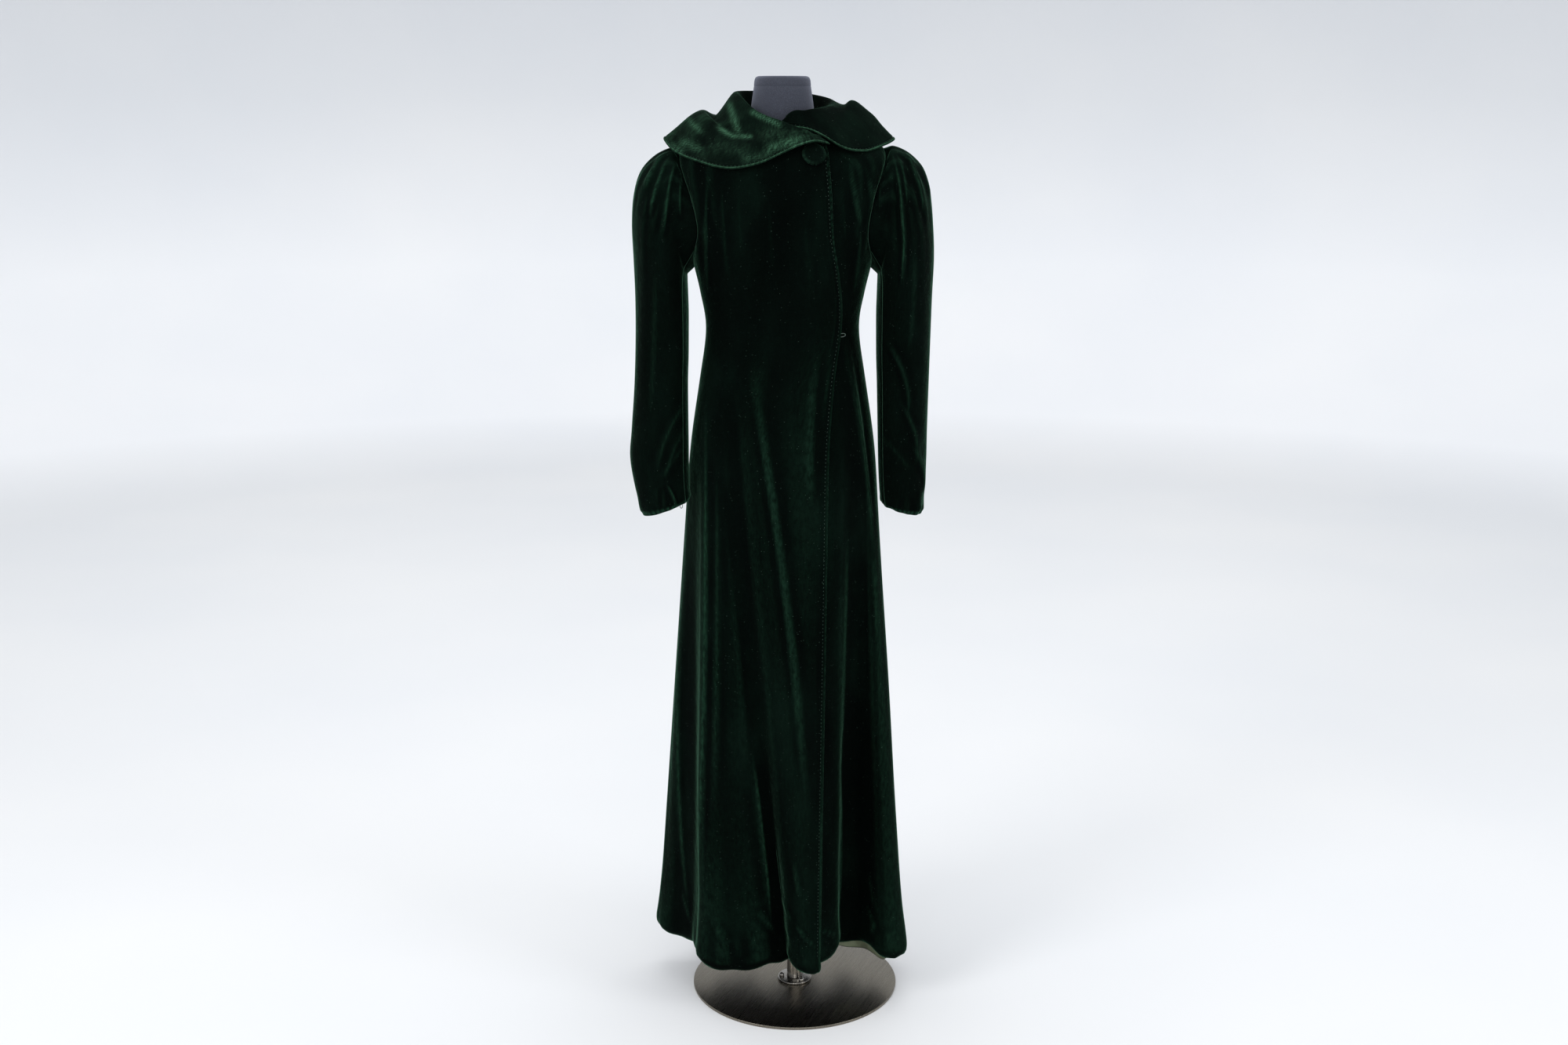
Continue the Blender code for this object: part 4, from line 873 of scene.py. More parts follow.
# Turned front edge: how far in its bead, its groove, and the painted highlight lines along the edge and along
# the armhole's seam lie, the width of each, and how high the bead stands
BEAD_IN, BEAD_WIDE, BEAD_RISE = 0.0018, 0.0015, 0.0010
GROOVE_IN, GROOVE_WIDE = 0.0052, 0.0012
HIGHLIGHT_LINE_IN, HIGHLIGHT_LINE_WIDE = 0.0012, 0.0012
PUCKER_PITCH = 0.011
TIGHT_FROM, TIGHT_TO = 1.22, 1.32            # heights between which the front edge draws up
PANEL_CREST = 0.0016                         # how proud a ridge of a panel is when its painted highlight is full


def shape(grid, normal, creases, seed, front):
    """Swell a panel's hem and lay its creases. A front starts at a free edge, the back at a seam."""
    above = grid[..., 2] - HEM_Z
    level = unit(normal * np.array([1.0, 1.0, 0.0]))
    grid = grid + level * (HEM_PUFF * smooth(HEM_SWELL, 1, above))[..., None]
    arc = along(grid, 1)
    share = np.linspace(0.0, 1.0, grid.shape[1])
    at_seams = (1.0 if front else blend(0.0, 0.05, share)) * (1.0 - blend(0.95, 1.0, share))
    rise, line = creased(grid, creases, 1.0 if front else blend(0.0, 0.03, grid[..., 1]))
    rise = rise + ripple(arc, above, seed, *PANEL_WAVES)
    near_hem = 1.0 - blend(0.02, 0.16, above)
    rise = rise + near_hem * ripple(arc, above * 0.9, seed + 1, *HEM_WAVES)
    rise = rise * at_seams * blend(0.0, 1.2, all_rings)
    dip = np.zeros(grid.shape)
    lowest = 1.0 - blend(0.0, 0.05, above)
    dip[..., 2] = lowest * ripple(arc, above * 0.0, seed + 2, *HEM_SCALLOPS)
    if front:
        round_off = np.clip(1.0 - arc / CORNER_R, 0.0, 1.0)
        dip[..., 2] += lowest * CORNER_R * (1.0 - np.sqrt(1.0 - round_off**2))
    grid = grid + normal * rise[..., None] + dip * at_seams[None, :, None]
    return grid, outward(grid, row_centre), line * at_seams, arc


def match_seams(front_normal, other_normal, column):
    """Give both sides of a seam one way out, so that their faces meet."""
    for i in seam_rows:
        normal = unit(front_normal[i, -1] + other_normal[i, column])
        front_normal[i, -1] = normal
        other_normal[i, column] = normal


def face(grid, normal, line, arc, front):
    """The outer face of a shaped panel, and its painted highlights."""
    z = grid[..., 2]
    above = z - HEM_Z
    thick = WALL + HEM_THICKER * (1.0 - blend(0.012, 0.05, above))
    outer = grid + normal * thick[..., None]
    painted_highlight_and_dark_edge = line
    if front:
        pucker = 0.6 + 0.4 * np.sin(z * 2 * math.pi / PUCKER_PITCH + 1.7 * np.sin(z * 90.0))
        tight = 0.35 + 0.65 * blend(TIGHT_FROM, TIGHT_TO, z)
        bead = hump(arc - BEAD_IN, BEAD_WIDE) - 0.7 * hump(arc - GROOVE_IN, GROOVE_WIDE)
        outer = outer + normal * (BEAD_RISE * bead * (1.0 - tight + tight * pucker))[..., None]
        # Painted highlight along the turned front edge, broken where the edge puckers.
        painted_highlight_and_dark_edge = painted_highlight_and_dark_edge + 0.70 * hump(arc - HIGHLIGHT_LINE_IN, HIGHLIGHT_LINE_WIDE) * (1.0 - tight + tight * pucker**2)
    # Painted highlight on the panel's ridges, fainter near the hem.
    top = np.clip(crest(outer, normal, PANEL_CREST), 0.0, 1.0) ** 1.4
    painted_highlight_and_dark_edge = np.maximum(painted_highlight_and_dark_edge, (0.17 + 0.17 * blend(0.25, 0.75, above)) * top)
    if front:
        # Painted highlight along the armhole's seam, fading out below it.
        from_end = arc[:, -1:] - arc
        painted_highlight_and_dark_edge = painted_highlight_and_dark_edge + 0.12 * hump(from_end - HIGHLIGHT_LINE_IN, HIGHLIGHT_LINE_WIDE) * blend(1.24, 1.42, z)
    return outer, np.clip(painted_highlight_and_dark_edge, -1.0, 1.0)


right_in, right_normal, right_line, right_arc = shape(right, right_normal, RIGHT_CREASES, 11, True)
left_in, left_normal, left_line, left_arc = shape(left, left_normal, LEFT_CREASES, 23, True)
back_in, back_normal, back_line, back_arc = shape(back, back_normal, BACK_CREASES, 37, False)
match_seams(right_normal, back_normal, 0)
match_seams(left_normal, back_normal, -1)
right_out, painted_highlight_and_dark_edge = face(right_in, right_normal, right_line, right_arc, True)
right_front = shell("right_front_velvet", right_in, right_out, (1, 2), velvet, painted_highlight_and_dark_edge)
left_out, painted_highlight_and_dark_edge = face(left_in, left_normal, left_line, left_arc, True)
left_front = shell("left_front_velvet", left_in, left_out, (1, 2), velvet, painted_highlight_and_dark_edge)
back_out, painted_highlight_and_dark_edge = face(back_in, back_normal, back_line, back_arc, False)
back_panel = shell("back_velvet", back_in, back_out, (1,), velvet, painted_highlight_and_dark_edge)
for thing, node, width, length, area in (
        (right_front, "right_front", 0.47, 1.42, 0.42),
        (left_front, "left_front", 0.40, 1.42, 0.34),
        (back_panel, "back", 0.78, 1.44, 0.72)):
    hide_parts(node)
    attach(thing, "root")

# The lining: a sage green satin, seen only where it hangs a little below the left front's hem in
# its deepest fold. Its lower edge is turned under, and its colour grows dark over the last rows.
LINING_DROP, LINING_T, LINING_BACK = 0.0200, 0.0010, 0.0022
LINING_FROM, LINING_TO, LINING_TOP = 0.40, 0.69, 0.20
LINING_ROWS, LINING_SAG_ROWS = 24, 14
LINING_WAVES = (5, 0.1, 0.02, 0.06, 0.0006)

lining, shader, add, join = material_nodes(
    "sage satin lining", (0.13, 0.155, 0.085), 0.55, Sheen_Weight=0.2,
    Sheen_Tint=(0.8, 0.9, 0.7, 1.0))
place = add("ShaderNodeTexCoord").outputs["Object"]
cloth = add("ShaderNodeUVMap", uv_map="cloth")
worn = ramp(add, noise(add, place, 38.0, 4.0), (0.30, (0.070, 0.080, 0.042)),
            (0.50, (0.135, 0.160, 0.090)), (0.75, (0.175, 0.200, 0.120)))
edge = add("ShaderNodeAttribute", attribute_name="painted_highlight_and_dark_edge").outputs["Fac"]
join(mixed(add, "MIX", edge, worn, (0.020, 0.022, 0.012, 1.0)), shader, "Base Color")
yarn = add("ShaderNodeMapping", Vector=cloth, Scale=(900.0, 2600.0, 1.0))
join(bump(add, noise(add, yarn, 1.0, 1.0), 0.3, 0.0003), shader, "Normal")

lined = slice(int(LINING_FROM * LEFT_COLUMNS), int(LINING_TO * LEFT_COLUMNS) + 1)
start_row = int(np.argmax(left_in[:, 0, 2] < HEM_Z + LINING_TOP))
keep = np.linspace(start_row, ROWS - 1, LINING_ROWS).astype(int)
hung = left_in[keep, lined] - left_normal[keep, lined] * LINING_BACK
sag = np.sin(np.pi * np.linspace(0.03, 0.97, hung.shape[1]))[:, None] ** 0.6
steps = np.linspace(0.0, 1.0, LINING_SAG_ROWS + 1)[1:, None, None]
droop = hung[-1] - np.array([0.0, 0.0, 1.0]) * LINING_DROP * sag * steps
droop = droop - left_normal[-1, lined] * (0.0012 * steps)
hang = np.concatenate([hung, droop])
hang_normal = np.concatenate([left_normal[keep, lined],
                              np.repeat(left_normal[-1:, lined], LINING_SAG_ROWS, axis=0)])
arc = along(hang[-1], 0)[None, :]
hang = hang + hang_normal * ripple(arc, hang[..., 2] * 0.5, 51, *LINING_WAVES)[..., None]
below = np.linspace(0.0, 1.0, len(hang))[:, None] * np.ones(hang.shape[1])
edge_dark = blend(0.955, 0.99, below)
hem_lining = shell("hem_lining_satin", hang - hang_normal * LINING_T, hang, (1,), lining, edge_dark)
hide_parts("hem_lining")
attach(hem_lining, "root")

# The sleeves: two-piece sleeves of the same velvet, their heads laid in ten deep pleats each that
# fan out from the shoulder tip. The cuffs are turned up inside and left open.
SLEEVE_FRONT_SEAM, SLEEVE_BACK_SEAM = 0.41, 0.66
TOP_COLUMNS, UNDER_COLUMNS, SLEEVE_ROWS = 144, 44, 168
# Sections from the head to the cuff: x and z outside, x and z inside, y of the middle, half depth
RIGHT_SLEEVE = [
    (0.176, 1.4565, 0.1540, 1.256, -0.004, 0.078), (0.203, 1.4445, 0.1545, 1.246, -0.006, 0.083),
    (0.226, 1.4205, 0.1540, 1.234, -0.008, 0.088), (0.238, 1.385, 0.1535, 1.217, -0.010, 0.087),
    (0.2420, 1.340, 0.1530, 1.194, -0.012, 0.083), (0.2410, 1.285, 0.1530, 1.163, -0.013, 0.077),
    (0.2400, 1.220, 0.1535, 1.123, -0.014, 0.070), (0.2405, 1.150, 0.1550, 1.080, -0.017, 0.064),
    (0.2430, 1.075, 0.1550, 1.030, -0.022, 0.059), (0.2480, 1.005, 0.1545, 0.978, -0.030, 0.055),
    (0.2510, 0.960, 0.1540, 0.943, -0.038, 0.052), (0.2430, 0.912, 0.1530, 0.914, -0.046, 0.048),
    (0.2310, 0.866, 0.1515, 0.893, -0.052, 0.044),
]
LEFT_SLEEVE = [
    (0.176, 1.459, 0.1540, 1.256, -0.004, 0.078), (0.202, 1.448, 0.1545, 1.246, -0.006, 0.083),
    (0.223, 1.426, 0.1540, 1.234, -0.008, 0.088), (0.236, 1.390, 0.1535, 1.217, -0.010, 0.087),
    (0.2420, 1.340, 0.1530, 1.194, -0.012, 0.083), (0.2450, 1.285, 0.1530, 1.163, -0.013, 0.077),
    (0.2430, 1.220, 0.1535, 1.123, -0.014, 0.070), (0.2410, 1.150, 0.1550, 1.080, -0.017, 0.064),
    (0.2390, 1.075, 0.1560, 1.030, -0.022, 0.059), (0.2370, 1.000, 0.1570, 0.978, -0.029, 0.055),
    (0.2360, 0.955, 0.1580, 0.940, -0.035, 0.051), (0.2340, 0.908, 0.1600, 0.905, -0.041, 0.048),
    (0.2300, 0.868, 0.1630, 0.884, -0.046, 0.044),
]
# Pleats: place round the armhole, depth, how many sections down they reach
PLEATS = [
    (-0.210, 0.004, 3.5), (-0.165, 0.006, 5.0), (-0.120, 0.007, 4.2), (-0.075, 0.006, 5.5),
    (-0.030, 0.006, 4.0), (0.022, 0.006, 4.6), (0.066, 0.007, 6.0), (0.112, 0.007, 5.0),
    (0.158, 0.007, 7.0), (0.205, 0.005, 4.4),
]
PLEAT_WIDE = 0.018
# Gathers of the head and wrinkles of the elbow and cuff, in the same terms as the body's creases
RIGHT_SLEEVE_FRONT = [
    (-0.182, 1.451, -0.201, 1.424, -0.214, 1.390, 0.0055, 0.0052, 1.0, 1.6),
    (-0.176, 1.447, -0.194, 1.405, -0.208, 1.350, 0.0060, 0.0055, 0.9, 1.7),
    (-0.167, 1.443, -0.179, 1.392, -0.186, 1.325, 0.0060, 0.0052, 0.9, 1.7),
    (-0.158, 1.432, -0.161, 1.398, -0.160, 1.350, 0.0050, 0.0036, 1.0, 1.4),
    (-0.186, 1.438, -0.203, 1.395, -0.213, 1.345, 0.0045, -0.0031, 1.0, 1.0),
    (-0.171, 1.432, -0.186, 1.385, -0.195, 1.320, 0.0045, -0.0029, 1.0, 1.0),
    (-0.200, 1.300, -0.205, 1.150, -0.215, 1.010, 0.0160, 0.0012, 1.0, 1.0),
    (-0.146, 1.070, -0.180, 1.018, -0.203, 0.940, 0.0085, 0.0022, 1.0, 1.2),
    (-0.148, 1.028, -0.175, 0.982, -0.192, 0.925, 0.0090, 0.0015, 1.0, 1.2),
    (-0.148, 0.992, -0.175, 0.965, -0.197, 0.930, 0.0120, 0.0011, 1.0, 1.0),
    (-0.188, 0.925, -0.180, 0.908, -0.174, 0.880, 0.0042, 0.0046, 1.0, 1.8),
    (-0.197, 0.922, -0.199, 0.902, -0.197, 0.882, 0.0040, -0.0020, 1.0, 1.0),
]
LEFT_SLEEVE_FRONT = [
    (0.159, 1.449, 0.155, 1.410, 0.152, 1.360, 0.0045, 0.0042, 1.2, 1.0),
    (0.171, 1.458, 0.186, 1.380, 0.187, 1.240, 0.0042, 0.0065, 1.6, 0.9),
    (0.179, 1.450, 0.191, 1.409, 0.195, 1.370, 0.0040, 0.0039, 1.5, 1.0),
    (0.191, 1.456, 0.209, 1.412, 0.221, 1.350, 0.0050, 0.0055, 1.5, 0.9),
    (0.211, 1.442, 0.228, 1.413, 0.236, 1.375, 0.0050, 0.0044, 1.4, 1.0),
    (0.176, 1.440, 0.180, 1.390, 0.180, 1.300, 0.0045, -0.0034, 1.0, 1.0),
    (0.199, 1.440, 0.213, 1.395, 0.222, 1.330, 0.0045, -0.0029, 1.0, 1.0),
    (0.163, 1.440, 0.165, 1.390, 0.163, 1.330, 0.0045, -0.0026, 1.0, 1.0),
    (0.205, 1.330, 0.208, 1.220, 0.200, 1.120, 0.0140, 0.0012, 1.0, 1.0),
    (0.164, 1.160, 0.196, 1.098, 0.202, 1.030, 0.0062, 0.0024, 1.3, 0.9),
    (0.188, 1.060, 0.214, 1.004, 0.214, 0.948, 0.0056, 0.0026, 1.3, 0.9),
    (0.206, 0.990, 0.226, 0.950, 0.230, 0.890, 0.0054, 0.0026, 1.3, 0.9),
    (0.146, 1.008, 0.178, 0.982, 0.208, 0.940, 0.0130, 0.0010, 1.0, 1.0),
    (0.226, 0.915, 0.224, 0.895, 0.222, 0.872, 0.0040, 0.0024, 1.0, 1.0),
]
RIGHT_SLEEVE_BACK = [
    (-0.178, 1.440, -0.194, 1.400, -0.206, 1.345, 0.0060, 0.0036, 1.0, 1.5),
    (-0.168, 1.436, -0.176, 1.390, -0.180, 1.330, 0.0060, 0.0034, 1.0, 1.4),
    (-0.196, 1.436, -0.216, 1.395, -0.226, 1.345, 0.0055, 0.0034, 1.0, 1.4),
    (-0.205, 1.120, -0.185, 1.085, -0.165, 1.060, 0.0090, 0.0022, 1.0, 1.0),
    (-0.218, 1.050, -0.190, 1.020, -0.165, 1.000, 0.0090, 0.0024, 1.0, 1.0),
    (-0.225, 0.985, -0.200, 0.960, -0.180, 0.940, 0.0080, 0.0020, 1.0, 1.0),
]
LEFT_SLEEVE_BACK = [
    (0.174, 1.444, 0.188, 1.400, 0.196, 1.340, 0.0060, 0.0036, 1.5, 1.0),
    (0.164, 1.438, 0.170, 1.385, 0.172, 1.320, 0.0060, 0.0032, 1.4, 1.0),
    (0.194, 1.440, 0.212, 1.398, 0.224, 1.345, 0.0055, 0.0036, 1.4, 1.0),
    (0.206, 1.130, 0.188, 1.098, 0.168, 1.070, 0.0090, 0.0022, 1.0, 1.0),
    (0.214, 1.060, 0.192, 1.030, 0.168, 1.008, 0.0090, 0.0024, 1.0, 1.0),
    (0.220, 0.990, 0.200, 0.966, 0.182, 0.945, 0.0080, 0.0020, 1.0, 1.0),
]
PLEAT_SHARE = 0.3            # share of the pleats' depth that shows beside the gathers above
SECTION_STEP, SLEEVE_ROUND = 0.068, 0.32     # metres down per section and round the forearm
SLEEVE_WAVES = (7, 0.5, 0.05, 0.14, 0.0009)
CUFF_WAVES = (6, 0.1, 0.014, 0.045, 0.0012)
CUFF_THICKER, CUFF_SWELL = 0.0012, 0.0016
UNDER_RELIEF = 0.6           # the under half lies smoother than the top half
SLEEVE_CREST = 0.0022
ARMHOLE_RINGS = [2.0, 2.4, 2.85, 3.3, 3.8, 4.3, 4.8, 5.3]

velvet_sleeve = velvet_material("green velvet, sleeves", 0.40, (0.0140, 0.0490, 0.0275))


def lofted(stations, at):
    """Smooth rows through stations one step apart."""
    slope = np.gradient(stations, axis=0)
    i = np.clip(np.floor(at).astype(int), 0, len(stations) - 2)
    t = (at - i)[:, None, None]
    return hermite(t, 1.0, stations[i], stations[i + 1], slope[i], slope[i + 1])


def armhole(side):
    """Shares and points round an armhole, by the front and back to the shoulder tip."""
    front, front_normal = (right_in, right_normal) if side < 0 else (left_in, left_normal)
    column = 0 if side < 0 else -1
    rows = [i for i, ring in enumerate(ring_rows) if TIP <= ring <= UNDERARM]
    part = 0.5 * np.interp(ring_rows[rows], ARMHOLE_RINGS, np.linspace(0.0, 1.0, len(ARMHOLE_RINGS)))
    places, shares = [], []
    for grid, normal, order, j, share in ((front, front_normal, rows, -1, part),
                                          (back_in, back_normal, rows[::-1], column, 1.0 - part[::-1])):
        step = -2 if j == -1 else 1
        for i, s in zip(order, share):
            beyond = unit(grid[i, j] - grid[i, step])
            if i in (rows[0], rows[-1]):
                beyond = np.array([side * 1.0, 0.0, 0.0]) if i == rows[0] else np.array([0.0, 0.0, 1.0])
            places.append(grid[i, j] + normal[i, j] * (WALL + GAP) + beyond * GAP)
            shares.append(s)
    return np.array(shares), np.array(places)


def sleeve(side, sections, share, section):
    """The outer face of a strip of sleeve at shares round it and section numbers down it."""
    shares, places = armhole(side)
    turn = 2 * math.pi * share
    start = np.stack([np.interp(share % 1.0, shares, places[:, k]) for k in range(3)], axis=-1)
    stations = [start]
    for x_out, z_out, x_in, z_in, y_mid, depth in sections:
        middle = np.array([(x_out + x_in) / 2, y_mid, (z_out + z_in) / 2])
        reach = np.array([(x_out - x_in) / 2, 0.0, (z_out - z_in) / 2])
        points = middle + np.cos(turn)[:, None] * reach + np.sin(turn)[:, None] * np.array([0.0, -depth, 0.0])
        points[:, 0] = COAT_X + side * points[:, 0]
        stations.append(points)
    grid = lofted(np.array(stations), section + 1.0)
    straight = (1.0 - blend(-0.8, 0.3, section))[:, None, None]
    line = stations[0] + (stations[1] - stations[0]) * np.clip(section + 1.0, 0.0, 1.0)[:, None, None]
    near = section < 0
    grid[near] = grid[near] * (1.0 - straight[near]) + line[near] * straight[near]
    return grid


def sleeve_relief(grid, normal, share, section, creases, seed):
    """How far pleats, gathers, wrinkles and slack lift a sleeve's face, and the painted highlight along the
    creases' tops.
    """
    s, k = share[None, :], section[:, None]
    rise = np.zeros((len(section), len(share)))
    for number, (place, height, length) in enumerate(PLEATS):
        drift = 0.006 * math.sin(1.9 * number) * blend(0.0, length, k)
        apart = (s - place - drift + 0.5) % 1.0 - 0.5
        fade = (1.0 - blend(0.4, length, k)) * blend(-1.0, -0.35, k)
        rise += PLEAT_SHARE * height * fade * hump(apart, PLEAT_WIDE)
    down = blend(-0.95, -0.2, k)
    ahead, ahead_line = creased(grid, creases[0], blend(0.0, 0.4, -normal[..., 1]) * down)
    behind, behind_line = creased(grid, creases[1], blend(0.0, 0.4, normal[..., 1]) * down)
    rise += ahead + behind
    slack = span(1.5, 5.0, 11.0, 12.0, k)
    rise += slack * ripple(s * SLEEVE_ROUND, k * SECTION_STEP, seed, *SLEEVE_WAVES)
    cuff = blend(10.6, 11.9, k)
    rise += cuff * ripple(s * SLEEVE_ROUND, k * SECTION_STEP, seed + 1, *CUFF_WAVES)
    rise += CUFF_SWELL * (blend(11.2, 11.75, k) - 1.9 * blend(11.8, 12.0, k))
    return rise, ahead_line + behind_line


# Rows of a sleeve, as section numbers, closer together at the head and at the cuff's edge
sections_down = np.unique(np.concatenate([
    np.linspace(-1.0, 12.0, SLEEVE_ROWS + 1), np.linspace(11.5, 12.0, 17),
    np.linspace(-1.0, 0.5, 31)]))


def sew_sleeve(side, word, sections, creases, seed):
    """Build the top and the under half of one sleeve, SEAM apart at both seams."""
    whole = sleeve(side, sections, np.linspace(0.0, 1.0, 73), sections_down)
    middle = whole[:, :-1].mean(axis=1, keepdims=True)
    middle[0:8] = middle[8]
    top_share = np.linspace(SLEEVE_BACK_SEAM - 1.0, SLEEVE_FRONT_SEAM, TOP_COLUMNS + 1)
    under_share = np.linspace(SLEEVE_FRONT_SEAM, SLEEVE_BACK_SEAM, UNDER_COLUMNS + 1)
    top = sleeve(side, sections, top_share, sections_down)
    under = sleeve(side, sections, under_share, sections_down)
    made = []
    for grid, share in ((top, top_share), (under, under_share)):
        normal = outward(grid, middle)
        pin = span(0.0, 0.05, 0.95, 1.0, np.linspace(0, 1, len(share)))
        rise, line = sleeve_relief(grid, normal, share, sections_down, creases, seed)
        if share is under_share:
            rise *= UNDER_RELIEF
        grid = grid + normal * (rise * pin)[..., None]
        made.append((grid, outward(grid, middle), line * pin))
    (top, top_normal, top_line), (under, under_normal, under_line) = made
    for a, a_normal, i, b, b_normal, j in ((top, top_normal, -1, under, under_normal, 0),
                                           (under, under_normal, -1, top, top_normal, 0)):
        across = unit(b[:, 1] - a[:, -2])
        normal = unit(a_normal[:, i] + b_normal[:, j])
        normal = unit(normal - across * np.sum(normal * across, axis=-1, keepdims=True))
        a_normal[:, i] = normal
        b_normal[:, j] = normal
        a[:, i] -= across * SEAM / 2
        b[:, j] += across * SEAM / 2
    thick = (WALL + CUFF_THICKER * blend(11.0, 11.8, sections_down))[:, None, None]
    for half, grid, normal, line, share in (("top", top, top_normal, top_line, top_share),
                                            ("under", under, under_normal, under_line, under_share)):
        # Painted highlights along the creases' tops and on the ridges, and a puckered painted highlight round
        # the cuff's edge.
        painted_highlight_and_dark_edge = np.maximum(0.68 * line, 0.22 * crest(grid, normal, SLEEVE_CREST))
        puckered = 0.55 + 0.45 * np.sin(share * 190.0)
        painted_highlight_and_dark_edge = painted_highlight_and_dark_edge + puckered * blend(11.78, 11.95, sections_down)[:, None]
        piece = shell("%s_sleeve_%s_velvet" % (word, half), grid - normal * thick, grid, (1,),
                      velvet_sleeve, np.clip(painted_highlight_and_dark_edge, -1.0, 1.0))
        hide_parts("%s_sleeve_%s" % (word, half))
        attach(piece, "root")


sew_sleeve(-1, "right", RIGHT_SLEEVE, (RIGHT_SLEEVE_FRONT, RIGHT_SLEEVE_BACK), 61)
sew_sleeve(1, "left", LEFT_SLEEVE, (LEFT_SLEEVE_FRONT, LEFT_SLEEVE_BACK), 71)

# The collar: a wide double collar of velvet that stands at the back of the neck, rolls over and
# falls in a cape to both shoulders. Its outer edge is turned over a thin cord. The right half
# runs across the front to the button, and the left half tucks in beneath it.
COLLAR = [
    (39.0, 0.0920, 1.4740, 0.1005, 1.4702, 0.1085, 1.4668, 0.1150, 1.4640),
    (28.0, 0.0990, 1.4785, 0.1035, 1.4760, 0.1080, 1.4730, 0.1140, 1.4680),
    (14.0, 0.0880, 1.4885, 0.0940, 1.4825, 0.1020, 1.4740, 0.1100, 1.4625),
    (0.0, 0.0805, 1.4970, 0.0870, 1.4850, 0.0970, 1.4710, 0.1080, 1.4505),
    (-18.0, 0.0750, 1.5050, 0.0870, 1.4825, 0.1020, 1.4650, 0.1200, 1.4350),
    (-38.0, 0.0715, 1.5150, 0.0920, 1.4800, 0.1120, 1.4620, 0.1390, 1.4275),
    (-58.0, 0.0690, 1.5270, 0.1010, 1.4860, 0.1220, 1.4785, 0.1600, 1.4385),
    (-74.0, 0.0690, 1.5350, 0.1060, 1.4950, 0.1290, 1.5010, 0.1770, 1.4520),
    (-90.0, 0.0720, 1.5400, 0.1080, 1.5030, 0.1320, 1.5125, 0.1890, 1.4710),
    (-112.0, 0.0780, 1.5430, 0.1050, 1.5080, 0.1290, 1.5030, 0.1700, 1.4600),
    (-140.0, 0.0780, 1.5440, 0.0950, 1.5080, 0.1120, 1.4840, 0.1400, 1.4330),
    (-180.0, 0.0710, 1.5440, 0.0860, 1.5060, 0.0970, 1.4680, 0.1120, 1.4120),
    (-220.0, 0.0780, 1.5380, 0.0950, 1.5080, 0.1120, 1.4860, 0.1390, 1.4350),
    (-246.0, 0.0780, 1.5310, 0.1000, 1.5200, 0.1230, 1.5110, 0.1640, 1.4640),
    (-270.0, 0.0750, 1.5215, 0.0980, 1.5215, 0.1190, 1.5250, 0.1785, 1.4690),
    (-286.0, 0.0725, 1.5190, 0.0950, 1.5145, 0.1170, 1.5080, 0.1630, 1.4595),
    (-300.0, 0.0700, 1.5175, 0.0920, 1.5065, 0.1130, 1.4900, 0.1460, 1.4525),
    (-311.0, 0.0695, 1.5160, 0.0880, 1.5040, 0.1055, 1.4870, 0.1310, 1.4565),
    (-321.0, 0.0690, 1.5140, 0.0805, 1.5030, 0.0935, 1.4880, 0.1070, 1.4737),
    (-330.0, 0.0690, 1.5125, 0.0765, 1.5030, 0.0845, 1.4935, 0.0920, 1.4839),
    (-346.0, 0.0680, 1.5105, 0.0705, 1.5040, 0.0730, 1.4965, 0.0750, 1.4890),
    (-362.0, 0.0655, 1.4960, 0.0660, 1.4930, 0.0665, 1.4905, 0.0670, 1.4880),
]
COLLAR_COLUMNS, COLLAR_ROWS = 430, 84
COLLAR_SEAM_RISE, COLLAR_SEAM_INSET = 0.0003, 0.0008
COLLAR_OVER_FROM, COLLAR_OVER_FULL = -65.0, -28.0
COLLAR_WIDE = 0.1            # the width that a crease's share of the collar stands for
COLLAR_WAVES = (7, 0.3, 0.035, 0.11, 0.0009)
# The corded edge: how far in its cord, its groove and the roll behind it lie, and their widths
CORD_IN, CORD_WIDE, CORD_RISE = 0.0013, 0.0012, 0.0008
CORD_GROOVE_IN, CORD_GROOVE_WIDE = 0.0042, 0.0010
CORD_ROLL_IN, CORD_ROLL_WIDE = 0.0068, 0.0013
CORD_PITCH = 0.009
COLLAR_CREST = 0.0008
# Creases of the collar: angle and share of its width at the start, the same at the end, half
# width, height, steepness of each side
COLLAR_CREASES = [
    (30.0, 0.60, -30.0, 0.58, 0.0060, 0.0014, 1.0, 1.0),
    (26.0, 0.80, -16.0, 0.84, 0.0050, 0.0012, 1.0, 1.0),
    (-40.0, 0.35, -78.0, 0.62, 0.0080, 0.0020, 1.0, 1.3),
    (-60.0, 0.80, -96.0, 0.72, 0.0080, 0.0016, 1.0, 1.0),
    (-24.0, 0.72, -58.0, 0.86, 0.0070, 0.0012, 1.0, 1.0),
    (-255.0, 0.70, -290.0, 0.72, 0.0080, 0.0016, 1.0, 1.0),
    (-150.0, 0.45, -165.0, 0.85, 0.0090, 0.0020, 1.0, 1.0),
    (-205.0, 0.45, -196.0, 0.85, 0.0090, 0.0020, 1.0, 1.0),
    (-118.0, 0.50, -126.0, 0.85, 0.0080, 0.0018, 1.0, 1.0),
]
